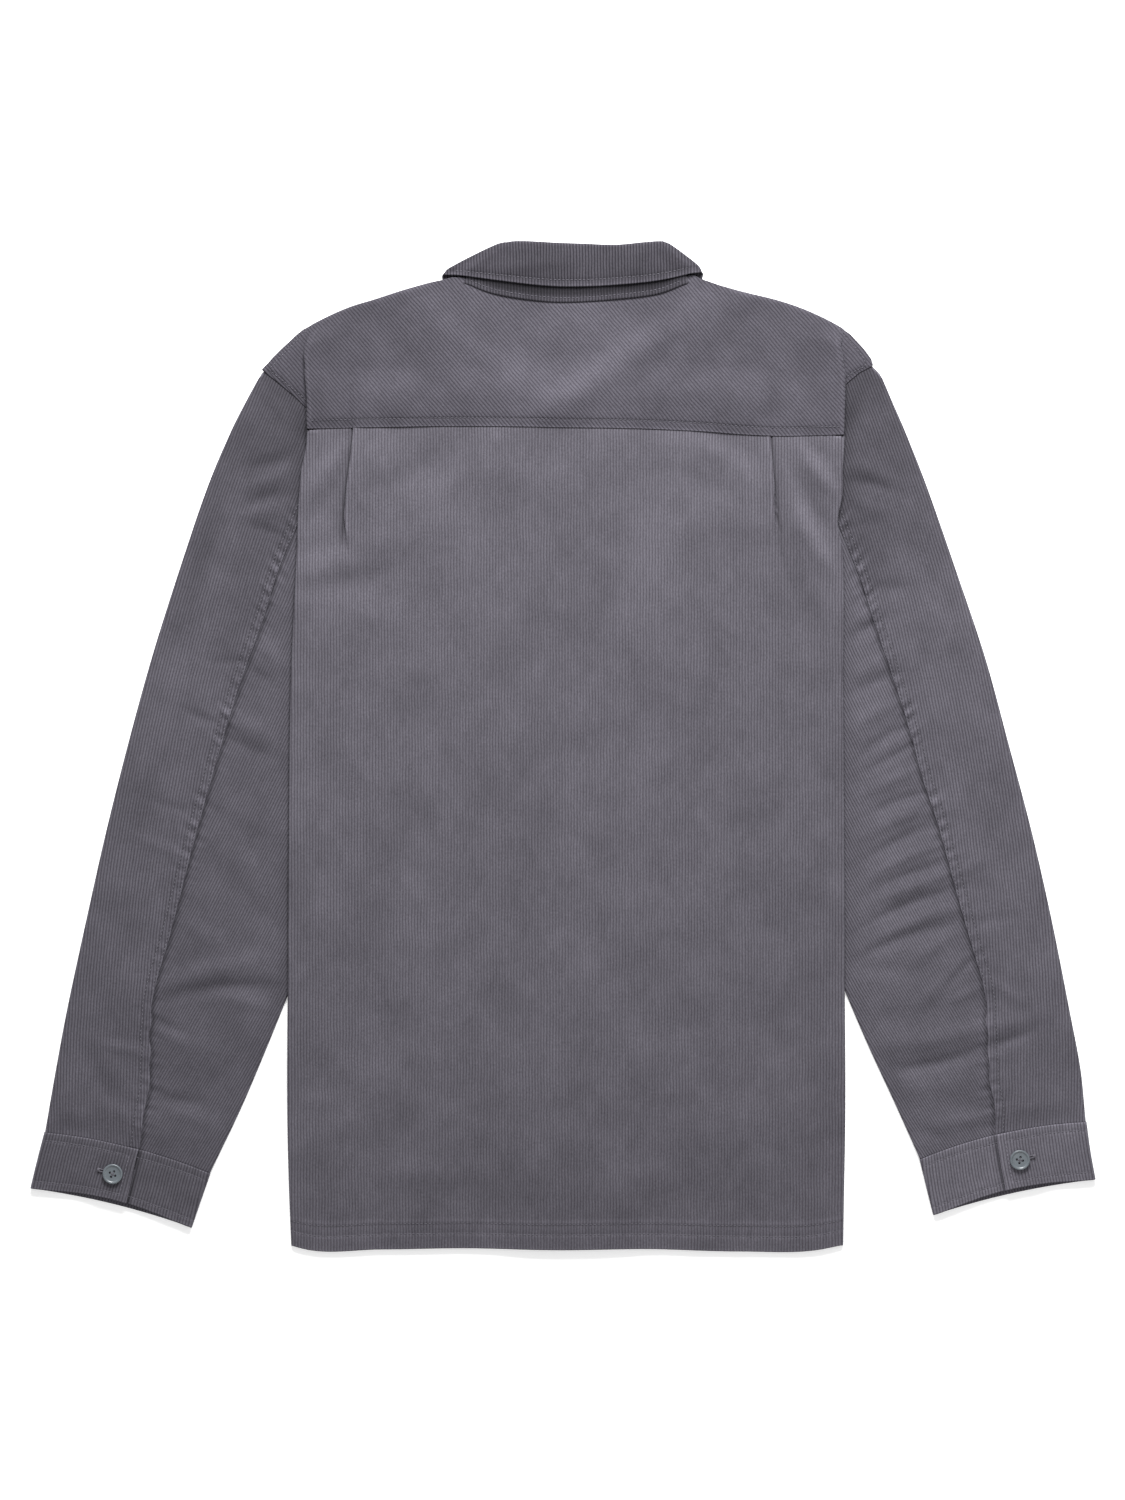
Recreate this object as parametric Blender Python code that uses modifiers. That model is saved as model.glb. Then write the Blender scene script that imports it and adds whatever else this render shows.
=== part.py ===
"""A corduroy shacket laid out face down on a surface, seen from its back.

Every cloth piece is an open grid of points that a Solidify modifier makes into a wall. Lengths
are in millimetres, x runs to the right of the picture, y towards the collar and z up from the
surface, and a mesh is made in metres.
"""
import math

import bmesh
import bpy
import numpy as np

OBJECT_NAME = "shacket"
METRE = 0.001

# Cloth: the wall of one layer, the step from one layer's middle to the next in the same piece,
# and the step from one piece to the next
CLOTH = 1.1
LAYER = 1.5
STEP = 2.0
FLOOR = CLOTH / 2
SLEEVE_STACK = LAYER + STEP
SEAM_GAP = 0.35
CUFF_CLOTH = 2.2
CUFF_LAYER = 2.6

# Buttons
BUTTON_RADIUS = 8.0
BUTTON_THICK = 2.6
BUTTON_RIM = 1.7
BUTTON_DISH = 0.6
HOLE_RADIUS = 1.0
HOLE_SPACING = 1.7
BUTTON_GAP = 0.3

# Front closure, hidden on the underside
FRONT_LINE = 6.0
BAND_HALF = 16.0
BAND_LIFT = BUTTON_THICK + BUTTON_GAP
FRONT_BUTTONS = 6
TOP_FRONT_BUTTON = 258.0
FRONT_BUTTON_STEP = 112.0

# How far a sleeve's thickness carries on under the body, and the slope down from it
PAD_MARGIN = 14.0
PAD_RAMP = 46.0

# Rise of a sleeve's upper side, which starts this far from the body, and where it leaves the body
SLEEVE_PUFF = 3.2
PUFF_MARGIN = 9.0
SLEEVE_FREE = -205.0

# Laps at the yoke seam and at the armhole
YOKE_LAP = 10.0
ARMHOLE_LAP = 8.0

# Rows of points down the body below the yoke seam, shared by the back, the fronts and the band
BODY_ROWS = np.array([
    246.0, 235.0, 222.0, 210.0, 198.0, 185.0, 172.0, 153.0, 135.0, 112.0, 86.0, 60.0, 20.0, -20.0,
    -62.0, -104.0, -146.0, -188.0, -230.0, -272.0, -314.0, -345.0, -370.0, -385.0, -401.0,
])
HEM_LINE = BODY_ROWS[-1]
TURN_POINTS = 2
PLEAT_REACH = 64.0


def table(columns, rows):
    """Columns by name, each an array with one value for every row."""
    values = np.array(rows, float).T
    return dict(zip(columns.split(), values))


# Side edges of the body, which lie over the sleeves
BODY = table("y left right", [
    (340.0, -205.5, 226.5),
    (326.0, -205.6, 226.0),
    (312.0, -208.3, 224.6),
    (296.0, -205.6, 224.2),
    (274.0, -203.4, 223.8),
    (254.0, -203.4, 223.2),
    (222.0, -207.7, 222.0),
    (190.0, -210.0, 219.9),
    (148.0, -211.7, 222.2),
    (52.0, -216.0, 222.4),
    (-70.0, -217.6, 223.2),
    (-192.0, -218.4, 223.6),
    (-315.0, -218.6, 224.0),
    (-360.0, -217.4, 223.2),
    (-401.0, -215.7, 222.6),
])

# Where the underside of the back ends: the armhole, then the side seam
SIDE_SEAM = table("y left right", [
    (300.0, -234.0, 246.0),
    (254.0, -193.0, 206.0),
    (200.0, -141.0, 154.0),
    (172.0, -117.0, 129.0),
    (135.0, -117.0, 129.0),
    (60.0, -150.0, 158.0),
    (-50.0, -182.0, 190.0),
    (-192.0, -194.0, 200.0),
    (-401.0, -196.0, 202.0),
])

# The edge of the sleeves that is nearest the middle of the body
SLEEVE_SIDE = table("y left right", [
    (300.0, -240.0, 253.0),
    (254.0, -192.0, 206.0),
    (200.0, -146.0, 160.0),
    (176.0, -124.0, 136.0),
    (100.0, -129.0, 141.0),
    (0.0, -150.0, 162.0),
    (-100.0, -180.0, 190.0),
    (-200.0, -221.0, 228.0),
    (-330.0, -277.0, 284.0),
])

HEM = table("x y", [
    (-216.0, -400.0),
    (-208.0, -402.2),
    (-146.0, -402.8),
    (-83.0, -401.8),
    (-2.0, -403.2),
    (66.0, -402.4),
    (140.0, -404.4),
    (206.0, -402.8),
    (222.0, -399.6),
])

YOKE_SEAM = table("x y", [
    (-205.0, 252.9),
    (-166.0, 253.7),
    (-92.0, 255.3),
    (-2.0, 254.0),
    (79.0, 252.6),
    (112.0, 251.0),
    (144.0, 248.4),
    (165.0, 247.3),
    (223.0, 248.2),
])

# Shoulder slope, neck seam and shoulder slope again
YOKE_TOP = table("x y", [
    (-241.0, 299.0),
    (-221.9, 320.4),
    (-206.4, 334.3),
    (-187.2, 343.8),
    (-155.5, 357.2),
    (-127.2, 364.4),
    (-97.6, 367.0),
    (-84.2, 367.5),
    (-70.0, 364.5),
    (-56.0, 361.2),
    (-32.4, 356.8),
    (-4.3, 354.0),
    (17.6, 354.8),
    (56.0, 357.5),
    (85.6, 362.0),
    (98.0, 367.0),
    (110.0, 369.0),
    (120.0, 369.6),
    (141.3, 364.4),
    (168.8, 357.2),
    (193.6, 348.0),
    (222.9, 333.4),
    (236.0, 322.0),
    (253.5, 297.0),
])

# Shoulder seam and neckline of each front, then its edge at the closure
FRONT_LEFT = table("y outer inner", [
    (357.0, -97.0, -84.0),
    (340.0, -152.0, -56.0),
    (326.0, -196.0, -30.0),
    (318.0, -212.0, -10.4),
    (300.0, -234.0, -10.4),
])
FRONT_RIGHT = table("y outer inner", [
    (357.0, 121.0, 108.0),
    (340.0, 180.0, 82.0),
    (326.0, 222.0, 50.0),
    (320.0, 231.0, 27.0),
    (306.0, 243.0, -6.0),
    (300.0, 246.0, -6.0),
])

# The yoke's side, sewn over the top of the sleeve
ARMHOLE = table("y left right", [
    (334.0, -206.4, 222.4),
    (320.0, -221.9, 238.0),
    (308.0, -232.0, 246.6),
    (298.0, -238.6, 251.0),
    (287.0, -223.8, 226.0),
    (268.0, -204.6, 214.0),
    (254.0, -194.0, 205.0),
])

# Edge of each pleat, how deep it goes and how far it is folded
PLEATS = table("y left right left_depth right_depth left_fold right_fold", [
    (264.0, -166.8, 164.4, 15.0, 15.0, 1.0, 1.0),
    (254.0, -166.6, 164.6, 15.0, 15.0, 1.0, 1.0),
    (230.0, -169.0, 166.2, 12.0, 13.0, 1.0, 1.0),
    (206.0, -172.0, 168.0, 7.5, 9.5, 1.0, 1.0),
    (183.0, -174.4, 170.4, 3.0, 5.5, 0.9, 1.0),
    (168.0, -175.2, 172.0, 3.0, 3.5, 0.45, 0.85),
    (149.0, -176.0, 174.4, 3.0, 3.0, 0.0, 0.4),
    (128.0, -176.0, 180.0, 3.0, 3.0, 0.0, 0.0),
    (-401.0, -176.0, 180.0, 3.0, 3.0, 0.0, 0.0),
])

# How deep and how far the body is folded over each sleeve at the shoulder
SHOULDER = table("y left_depth right_depth fold", [
    (334.0, 3.0, 3.0, 0.0),
    (320.0, 3.0, 3.0, 0.35),
    (306.0, 6.0, 6.0, 0.8),
    (292.0, 11.0, 12.0, 1.0),
    (254.0, 21.0, 21.0, 1.0),
])

# Largest soft folds: where, which way they run, how long, wide and high they are
FOLDS = table("x y turn length width height", [
    (203.0, 222.0, -45.0, 32.0, 7.0, 1.6),
    (196.0, 186.0, -50.0, 30.0, 8.0, 1.3),
    (-150.0, 150.0, -8.0, 90.0, 26.0, 0.9),
    (60.0, 316.0, 33.0, 80.0, 10.0, 1.4),
    (10.0, 288.0, 30.0, 90.0, 12.0, 1.0),
    (118.0, -80.0, 88.0, 190.0, 30.0, 0.8),
    (-96.0, -210.0, 86.0, 150.0, 28.0, 0.8),
])

# Sleeve sections from the armhole to the cuff: the outer edge, the inner edge, and how far the
# section bows towards the collar
LEFT_SLEEVE = table("outer_x outer_y inner_x inner_y bow", [
    (-241.0, 297.0, -124.0, 176.0, 0.0),
    (-253.0, 275.0, -125.0, 140.0, 0.0),
    (-266.0, 249.0, -129.0, 100.0, 0.0),
    (-284.4, 205.0, -138.0, 50.0, 0.0),
    (-306.4, 140.0, -150.0, 0.0, 0.0),
    (-328.4, 70.0, -164.0, -50.0, 0.0),
    (-347.6, 0.0, -180.0, -100.0, 0.0),
    (-365.1, -70.0, -199.0, -150.0, 0.0),
    (-380.8, -140.0, -220.5, -200.0, 0.0),
    (-395.8, -210.0, -238.0, -243.0, 1.0),
    (-406.0, -265.0, -258.0, -290.0, 3.0),
    (-413.4, -308.5, -282.4, -341.0, 5.0),
])
RIGHT_SLEEVE = table("outer_x outer_y inner_x inner_y bow", [
    (253.4, 297.0, 136.0, 176.0, 0.0),
    (262.8, 275.0, 137.0, 140.0, 0.0),
    (274.0, 249.0, 141.0, 100.0, 0.0),
    (291.2, 205.0, 150.0, 50.0, 0.0),
    (313.8, 140.0, 162.0, 0.0, 0.0),
    (337.2, 70.0, 176.0, -50.0, 0.0),
    (356.2, 0.0, 190.0, -100.0, 0.0),
    (374.6, -70.0, 207.0, -150.0, 0.0),
    (390.4, -140.0, 227.5, -200.0, 0.0),
    (404.2, -210.0, 246.0, -243.0, 1.0),
    (413.2, -258.0, 265.0, -284.0, 3.0),
    (417.4, -300.2, 285.6, -329.8, 6.0),
])

# The felled seam along the upper side of each sleeve
LEFT_SEAM = table("y x", [
    (238.0, -185.0), (178.8, -210.8), (142.0, -226.7), (101.4, -239.2), (52.4, -256.8),
    (21.4, -266.6), (-17.8, -278.0), (-58.6, -289.6), (-94.6, -299.2), (-127.2, -307.4),
    (-158.0, -315.5), (-192.4, -325.6), (-220.4, -329.6), (-263.4, -330.4), (-294.0, -334.0),
    (-318.6, -339.2), (-332.0, -341.0),
])
RIGHT_SEAM = table("y x", [
    (238.0, 196.0), (176.4, 220.0), (140.6, 234.8), (95.6, 249.4), (52.4, 264.0),
    (5.2, 278.7), (-26.0, 286.9), (-60.2, 298.4), (-94.6, 308.0), (-125.2, 316.3),
    (-164.7, 327.8), (-192.4, 335.9), (-232.8, 339.2), (-263.4, 340.8), (-294.0, 345.1),
    (-320.0, 347.0),
])

# How the sleeve's outer part laps over its inner part: lift in layers, and width of the lap
SEAM_LAP = table("y lift lap", [
    (300.0, 0.0, 0.0),
    (150.0, 0.0, 0.0),
    (120.0, 1.0, 0.0),
    (95.0, 1.0, 7.0),
    (-175.0, 1.0, 7.0),
    (-215.0, 1.0, 18.0),
    (-345.0, 1.0, 18.0),
])

# Cuff sections from the sleeve to the wrist: both edges, the bow and the edge of the upper end
LEFT_CUFF = table("outer_x outer_y inner_x inner_y bow end", [
    (-413.6, -309.3, -282.8, -341.8, 5.0, 0.560),
    (-419.4, -331.8, -290.4, -363.6, 4.5, 0.575),
    (-424.8, -354.2, -297.8, -385.2, 3.5, 0.590),
])
RIGHT_CUFF = table("outer_x outer_y inner_x inner_y bow end", [
    (417.5, -301.0, 286.0, -330.6, 6.0, 0.533),
    (420.6, -324.0, 291.4, -352.8, 5.0, 0.542),
    (424.8, -347.1, 297.0, -375.2, 3.5, 0.551),
])
CUFF_LAP = 21.0
CUFF_BUTTONS = table("x y", [
    (-359.4, -342.0),
    (364.6, -330.8),
])

# Collar stations from the left front point round the back to the right front point
FALL_LEFT = table("fold_x fold_y edge_x edge_y", [
    (-2.0, 350.0, -62.0, 300.0),
    (-28.0, 380.0, -85.0, 339.0),
    (-45.0, 401.0, -94.0, 374.5),
])
FALL_BACK = table("fold_x fold_y edge_x edge_y", [
    (-45.5, 402.4, -93.5, 377.3),
    (-30.0, 402.3, -60.0, 372.5),
    (-5.0, 401.0, -20.0, 367.6),
    (17.0, 400.2, 8.0, 366.4),
    (42.0, 399.4, 42.0, 367.8),
    (64.0, 401.3, 78.0, 371.6),
    (79.5, 403.2, 107.0, 378.0),
])
FALL_RIGHT = table("fold_x fold_y edge_x edge_y", [
    (79.0, 401.8, 109.5, 374.5),
    (60.0, 380.0, 108.0, 339.0),
    (28.0, 350.0, 88.0, 300.0),
])
STAND_LEFT = table("fold_x fold_y edge_x edge_y", [
    (0.0, 345.0, -6.0, 321.0),
    (-26.0, 374.0, -48.0, 337.0),
    (-42.5, 396.0, -79.0, 364.0),
])
STAND_BACK = table("fold_x fold_y edge_x edge_y", [
    (-43.0, 399.0, -80.0, 371.8),
    (-29.0, 399.0, -56.0, 362.3),
    (-5.0, 397.8, -20.0, 356.4),
    (17.0, 397.0, 8.0, 355.3),
    (42.0, 396.2, 42.0, 357.5),
    (63.0, 398.1, 76.0, 362.0),
    (77.0, 400.0, 101.0, 371.6),
])
STAND_RIGHT = table("fold_x fold_y edge_x edge_y", [
    (76.5, 397.0, 100.0, 364.0),
    (56.0, 374.0, 72.0, 337.0),
    (24.0, 345.0, 30.0, 321.0),
])
FALL_HEIGHT = 9.2
FALL_DROOP = 0.6
STAND_HEIGHT = 7.4
COLLAR_MIDDLE = 13.0

# Which way each crease of the collar bulges
LEFT_CREASE = np.array([-0.48, 0.87, 0.0])
RIGHT_CREASE = np.array([0.67, 0.74, 0.0])


def smooth(low, high, value):
    """Zero below low, one above high, and an even curve between them."""
    part = np.clip((value - low) / (high - low), 0.0, 1.0)
    return part * part * (3.0 - 2.0 * part)


def flow(value, known, wanted):
    """A smooth curve through points, read at the values asked for."""
    if known[0] > known[-1]:
        known = known[::-1]
        wanted = wanted[::-1]
    slope = np.gradient(wanted, known)
    value = np.clip(value, known[0], known[-1])
    low = np.clip(np.searchsorted(known, value) - 1, 0, len(known) - 2)
    width = known[low + 1] - known[low]
    part = (value - known[low]) / width
    rise = part * part * (3.0 - 2.0 * part)
    first = part * (1.0 - part) ** 2 * width * slope[low]
    last = part * part * (part - 1.0) * width * slope[low + 1]
    return wanted[low] * (1.0 - rise) + wanted[low + 1] * rise + first + last


def by_y(source, column, y):
    """One column of a table, read at y."""
    return flow(y, source["y"], source[column])


def pad(x, y):
    """One where a sleeve lies under the body, falling to zero beyond the sleeve's inner edge."""
    left = x - np.interp(y, SLEEVE_SIDE["y"][::-1], SLEEVE_SIDE["left"][::-1])
    right = np.interp(y, SLEEVE_SIDE["y"][::-1], SLEEVE_SIDE["right"][::-1]) - x
    inside = np.minimum(left, right)
    near = 1.0 - smooth(PAD_MARGIN, PAD_MARGIN + PAD_RAMP, inside)
    return near * (1.0 - smooth(306.0, 335.0, y))


def band_rise(x, y):
    """The lift that the front buttons give to the closure."""
    across = 1.0 - smooth(20.0, 90.0, np.abs(x - FRONT_LINE))
    along = smooth(-396.0, -345.0, y) * (1.0 - smooth(272.0, 316.0, y))
    return BAND_LIFT * across * along


def collar_rise(x, y):
    """The lift that the collar's front points give to what lies over them."""
    across = 1.0 - smooth(112.0, 160.0, np.abs(x - COLLAR_MIDDLE))
    return STEP * across * smooth(250.0, 292.0, y)


def band_lap(x, y):
    """The lift of the right front where it laps over the button band."""
    across = 1.0 - smooth(22.0, 80.0, np.abs(x - FRONT_LINE))
    return STEP * across * (1.0 - smooth(320.0, 350.0, y))


def folds(x, y):
    """Height of the largest soft folds."""
    total = np.zeros(np.broadcast(x, y).shape)
    for row in range(len(FOLDS["x"])):
        turn = math.radians(FOLDS["turn"][row])
        off_x = x - FOLDS["x"][row]
        off_y = y - FOLDS["y"][row]
        along = off_x * math.cos(turn) + off_y * math.sin(turn)
        across = off_y * math.cos(turn) - off_x * math.sin(turn)
        shape = np.exp(-(across / FOLDS["width"][row]) ** 2 - (along / FOLDS["length"][row]) ** 2)
        total = total + FOLDS["height"][row] * shape
    return total


def front_level(x, y):
    """Middle of a front panel's wall."""
    sleeve = SLEEVE_STACK * pad(x, y) * (1.0 - smooth(120.0, 162.0, y))
    return FLOOR + sleeve + band_rise(x, y) + collar_rise(x, y)


def back_level(x, y):
    """Middle of the back's wall where it lies on the fronts."""
    under = SLEEVE_STACK * pad(x, y) + band_rise(x, y) + collar_rise(x, y)
    return FLOOR + STEP + under + band_lap(x, y)


def pleat_bump(x, y):
    """Thickness that the folded pleats add."""
    left = x - by_y(PLEATS, "left", np.clip(y, 128.0, 264.0))
    right = by_y(PLEATS, "right", np.clip(y, 128.0, 264.0)) - x
    inside = np.minimum(left, right)
    bump = smooth(-20.0, -7.0, inside) * (1.0 - smooth(24.0, 66.0, inside))
    return (2.0 * LAYER + 0.3) * bump * (1.0 - smooth(268.0, 305.0, y))


def tuck(start, edge, depth, end, fold, layer, steps):
    """Columns across a fold: out along the lower layer, back along the middle one and out again.

    Gives x, the height above the lower layer, and how far along the upper layer each column lies.
    """
    lower_steps, middle_steps, upper_steps = steps
    toward = np.sign(end - edge)
    inner = edge + toward * depth
    turn = np.linspace(0.0, math.pi, TURN_POINTS + 2)[1:-1]
    lower = start + (inner - start) * np.linspace(0.0, 1.0, lower_steps)
    first_turn = inner + toward * layer / 2 * np.sin(turn)
    middle = inner + (edge - inner) * np.linspace(0.0, 1.0, middle_steps)
    second_turn = edge - toward * layer / 2 * np.sin(turn)
    upper = edge + (end - edge) * np.linspace(0.0, 1.0, upper_steps)
    x = np.concatenate([lower, first_turn, middle, second_turn, upper], axis=1)
    rise = np.concatenate([
        np.zeros(lower_steps),
        0.5 - 0.5 * np.cos(turn),
        np.ones(middle_steps),
        1.5 - 0.5 * np.cos(turn),
        np.full(upper_steps, 2.0),
    ])
    settle = np.concatenate([
        np.zeros(lower_steps + middle_steps + 2 * TURN_POINTS),
        np.linspace(0.0, 1.0, upper_steps),
    ])
    step = np.hypot(np.diff(x, axis=1), layer * np.diff(rise))
    length = np.concatenate([np.zeros((len(x), 1)), np.cumsum(step, axis=1)], axis=1)
    flat = start + (end - start) * length / length[:, -1:]
    x = flat + (x - flat) * fold
    rise = layer * rise * smooth(0.0, 0.5, fold)
    return x, rise, np.broadcast_to(settle, x.shape)


def column(values):
    """An array as one column, so that it spreads over a grid."""
    return np.asarray(values, float)[:, None]


def back_side(y, side):
    """Half of the back's columns, from the side seam round the edge and over the pleat."""
    toward = 1.0 if side == "left" else -1.0
    edge = column(by_y(BODY, side, y))
    seam = column(np.interp(y, SIDE_SEAM["y"][::-1], SIDE_SEAM[side][::-1]))
    turn = np.linspace(0.0, math.pi, TURN_POINTS + 2)[1:-1]
    under_steps = 3
    under = seam + (edge - seam) * np.linspace(0.0, 1.0, under_steps)
    round_edge = edge - toward * STEP / 2 * np.sin(turn)
    pleat = column(by_y(PLEATS, side, y))
    depth = column(by_y(PLEATS, side + "_depth", y))
    fold = column(np.interp(y, PLEATS["y"][::-1], PLEATS[side + "_fold"][::-1]))
    end = pleat + toward * PLEAT_REACH
    top, rise, settle = tuck(edge, pleat, depth, end, fold, LAYER, (4, 2, 5))
    x = np.concatenate([under, round_edge, top], axis=1)
    level = np.concatenate([np.zeros(under_steps), 0.5 - 0.5 * np.cos(turn), np.ones(top.shape[1])])
    flat = np.zeros((len(y), under_steps + TURN_POINTS))
    rise = np.concatenate([flat, rise], axis=1)
    settle = np.concatenate([flat, settle], axis=1)
    return x, np.broadcast_to(level, x.shape), rise, settle


def hem_shift(x, y):
    """How far a body row moves to follow the hem, which is nothing well above it."""
    return (flow(x, HEM["x"], HEM["y"]) - HEM_LINE) * (1.0 - smooth(HEM_LINE, -314.0, y))


def back_grid():
    """The back panel: both returns, both pleats and the middle."""
    rows = np.concatenate([np.linspace(264.0, 251.0, 3), BODY_ROWS])
    left_x, left_level, left_rise, left_settle = back_side(rows, "left")
    right_x, right_level, right_rise, right_settle = back_side(rows, "right")
    middle = np.linspace(0.0, 1.0, 8)[1:-1]
    middle_x = left_x[:, -1:] + (right_x[:, -1:] - left_x[:, -1:]) * middle
    ones = np.ones(middle_x.shape)
    x = np.concatenate([left_x, middle_x, right_x[:, ::-1]], axis=1)
    level = np.concatenate([left_level, ones, right_level[:, ::-1]], axis=1)
    rise = np.concatenate([left_rise, 0.0 * ones, right_rise[:, ::-1]], axis=1)
    settle = np.concatenate([left_settle, ones, right_settle[:, ::-1]], axis=1)
    from_edge = np.minimum(x - column(by_y(BODY, "left", rows)),
                           column(by_y(BODY, "right", rows)) - x)
    lap = (YOKE_LAP + 1.0) * smooth(6.0, 20.0, from_edge) - 1.0
    top = flow(x, YOKE_SEAM["x"], YOKE_SEAM["y"]) + lap
    y = column(rows) + (top - rows[0]) * smooth(205.0, 264.0, column(rows)) + hem_shift(x, column(rows))
    lower = FLOOR + SLEEVE_STACK * pad(x, y)
    upper = back_level(x, y) + folds(x, y)
    fade = 1.0 - smooth(19.0, 62.0, settle * PLEAT_REACH)
    z = lower + (upper - lower) * level + rise * np.where(settle > 0.0, fade, 1.0)
    return np.stack([x, y, z], axis=2)


def yoke_side(y, side):
    """Half of the yoke's columns, from the armhole over the shoulder fold."""
    toward = 1.0 if side == "left" else -1.0
    armhole = column(np.interp(y, ARMHOLE["y"][::-1], ARMHOLE[side][::-1]))
    edge = column(by_y(BODY, side, y))
    depth = column(np.interp(y, SHOULDER["y"][::-1], SHOULDER[side + "_depth"][::-1]))
    fold = column(np.interp(y, SHOULDER["y"][::-1], SHOULDER["fold"][::-1]))
    start = toward * np.minimum(toward * armhole, toward * (edge + toward * (depth - 4.0)))
    end = edge + toward * 58.0
    return tuck(start, edge, depth, end, fold, STEP, (3, 3, 6))


def yoke_grid():
    """The yoke, with its shoulder folds; its rows follow the shoulders above and the seam below."""
    part = np.linspace(0.0, 1.0, 14)
    rows = 334.0 + (254.0 - 334.0) * part
    left_x, left_rise, left_settle = yoke_side(rows, "left")
    right_x, right_rise, right_settle = yoke_side(rows, "right")
    middle = np.linspace(0.0, 1.0, 13)[1:-1]
    middle_x = left_x[:, -1:] + (right_x[:, -1:] - left_x[:, -1:]) * middle
    zero = np.zeros(middle_x.shape)
    x = np.concatenate([left_x, middle_x, right_x[:, ::-1]], axis=1)
    rise = np.concatenate([left_rise, zero, right_rise[:, ::-1]], axis=1)
    settle = np.concatenate([left_settle, zero + 1.0, right_settle[:, ::-1]], axis=1)
    part = column(part)
    hidden = 1.0 - smooth(1.2 * STEP, 2.0 * STEP, np.where(settle > 0.0, 2.0 * STEP, rise[-1:, :]))
    top = flow(x[0], YOKE_TOP["x"], YOKE_TOP["y"]) - SEAM_GAP
    bottom = flow(x, YOKE_SEAM["x"], YOKE_SEAM["y"]) + 15.0 * hidden
    y = top + (bottom - top) * part
    low = FLOOR + STEP + (SLEEVE_STACK - STEP) * pad(x, y) + collar_rise(x, y)
    lap = 1.0 - smooth(276.0, 306.0, y)
    high = back_level(x, y) + folds(x, y) + STEP * lap + pleat_bump(x, y)
    share = smooth(0.1, 1.0, settle)
    z = (low + rise) * (1.0 - share) + high * share
    # The outer 3 mm curl down to the surface along the shoulders but not along the neck
    shoulder = smooth(112.0, 130.0, np.abs(x - COLLAR_MIDDLE)) * (1.0 - pad(x, y))
    curl = np.clip((top - y) / 4.0, 0.0, 1.0)
    drop = 1.0 - np.sqrt(1.0 - (1.0 - curl) ** 2)
    z = z - (z - FLOOR) * 0.8 * drop * shoulder
    return np.stack([x, y, z], axis=2)


def front_grid(side):
    """A plain front, from the shoulder seam to the hem."""
    left = side == "left"
    upper = FRONT_LEFT if left else FRONT_RIGHT
    above = np.array([357.0, 349.0, 340.0, 331.0, 320.0, 310.0, 300.0, 286.0, 270.0, 258.0])
    rows = np.concatenate([above, BODY_ROWS])
    outer = np.interp(rows, upper["y"][::-1], upper["outer"][::-1])
    seam = np.interp(rows, SIDE_SEAM["y"][::-1], SIDE_SEAM[side][::-1])
    gap = SEAM_GAP if left else -SEAM_GAP
    outer = np.where(rows <= 300.0, seam + gap, outer)
    inner = np.interp(rows, upper["y"][::-1], upper["inner"][::-1])
    across = np.array([0.0, 0.11, 0.22, 0.34, 0.48, 0.65, 0.84, 1.0])
    x = column(outer) + column(inner - outer) * across
    y = column(rows) + hem_shift(x, column(rows))
    z = front_level(x, y)
    if not left:
        z = z + band_lap(x, y)
    return np.stack([x, y, z], axis=2)


def band_grid():
    """The button band, which laps over the right front."""
    rows = column(np.concatenate([np.array([316.0, 306.0, 296.0, 284.0, 270.0, 258.0]), BODY_ROWS]))
    x = FRONT_LINE + np.array([-BAND_HALF, BAND_HALF]) + 0.0 * rows
    y = rows + hem_shift(x, rows)
    return np.stack([x, y, front_level(x, y)], axis=2)


def spread(values, count):
    """A table's column read smoothly at evenly spaced stations."""
    stations = np.arange(len(values), dtype=float)
    return column(flow(np.linspace(0.0, len(values) - 1.0, count), stations, values))


def sections(edges, count):
    """A flattened tube's sections at evenly spaced stations, with the width of each."""
    found = {name: spread(values, count) for name, values in edges.items()}
    found["width"] = np.hypot(found["inner_x"] - found["outer_x"], found["inner_y"] - found["outer_y"])
    return found


def wrap(tube, line, lap, lift, step, floor, counts):
    """A flattened tube, open along one line of its upper side.

    Columns run from the lower end of the lap, round the inner edge, back under the tube, round
    the outer edge and along the upper side to the line. The line is a part of the way from the
    outer edge to the inner one. Gives the points, how far each is from the outer edge, how high
    it is from 0 on the floor to 1 on the upper side, and 1 for the columns that lap over.
    """
    under_count, floor_count, over_count = counts
    width = tube["width"]
    turn = np.linspace(0.0, math.pi, TURN_POINTS + 2)[1:-1]
    reach = step / 2 / width
    far = 1.0 - reach
    lower_end = line - lap / width + SEAM_GAP / width * (lap < 0.5)
    under = lower_end + (far - lower_end) * np.linspace(0.0, 1.0, under_count)
    inner_turn = far + reach * np.sin(turn)
    base = far + (reach - far) * np.linspace(0.0, 1.0, floor_count)
    outer_turn = reach - reach * np.sin(turn)
    over = reach + (line - reach) * np.linspace(0.0, 1.0, over_count)
    place = np.concatenate([under, inner_turn, base, outer_turn, over], axis=1)
    level = np.concatenate([
        np.ones(under_count),
        0.5 + 0.5 * np.cos(turn),
        np.zeros(floor_count),
        0.5 - 0.5 * np.cos(turn),
        np.ones(over_count),
    ])
    upper = np.zeros(place.shape[1])
    upper[-over_count:] = 1.0
    bend = tube["bow"] * 4.0 * place * (1.0 - place)
    along_x = (tube["inner_x"] - tube["outer_x"]) / width
    along_y = (tube["inner_y"] - tube["outer_y"]) / width
    x = tube["outer_x"] + along_x * width * place + np.sign(along_x) * np.abs(along_y) * bend
    y = tube["outer_y"] + along_y * width * place + np.abs(along_x) * bend
    lifted = lift * upper * (1.0 - smooth(16.0, 44.0, (line - place) * width))
    z = floor + step * (level + lifted)
    return np.stack([x, y, z], axis=2), place * width, level, upper


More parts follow.
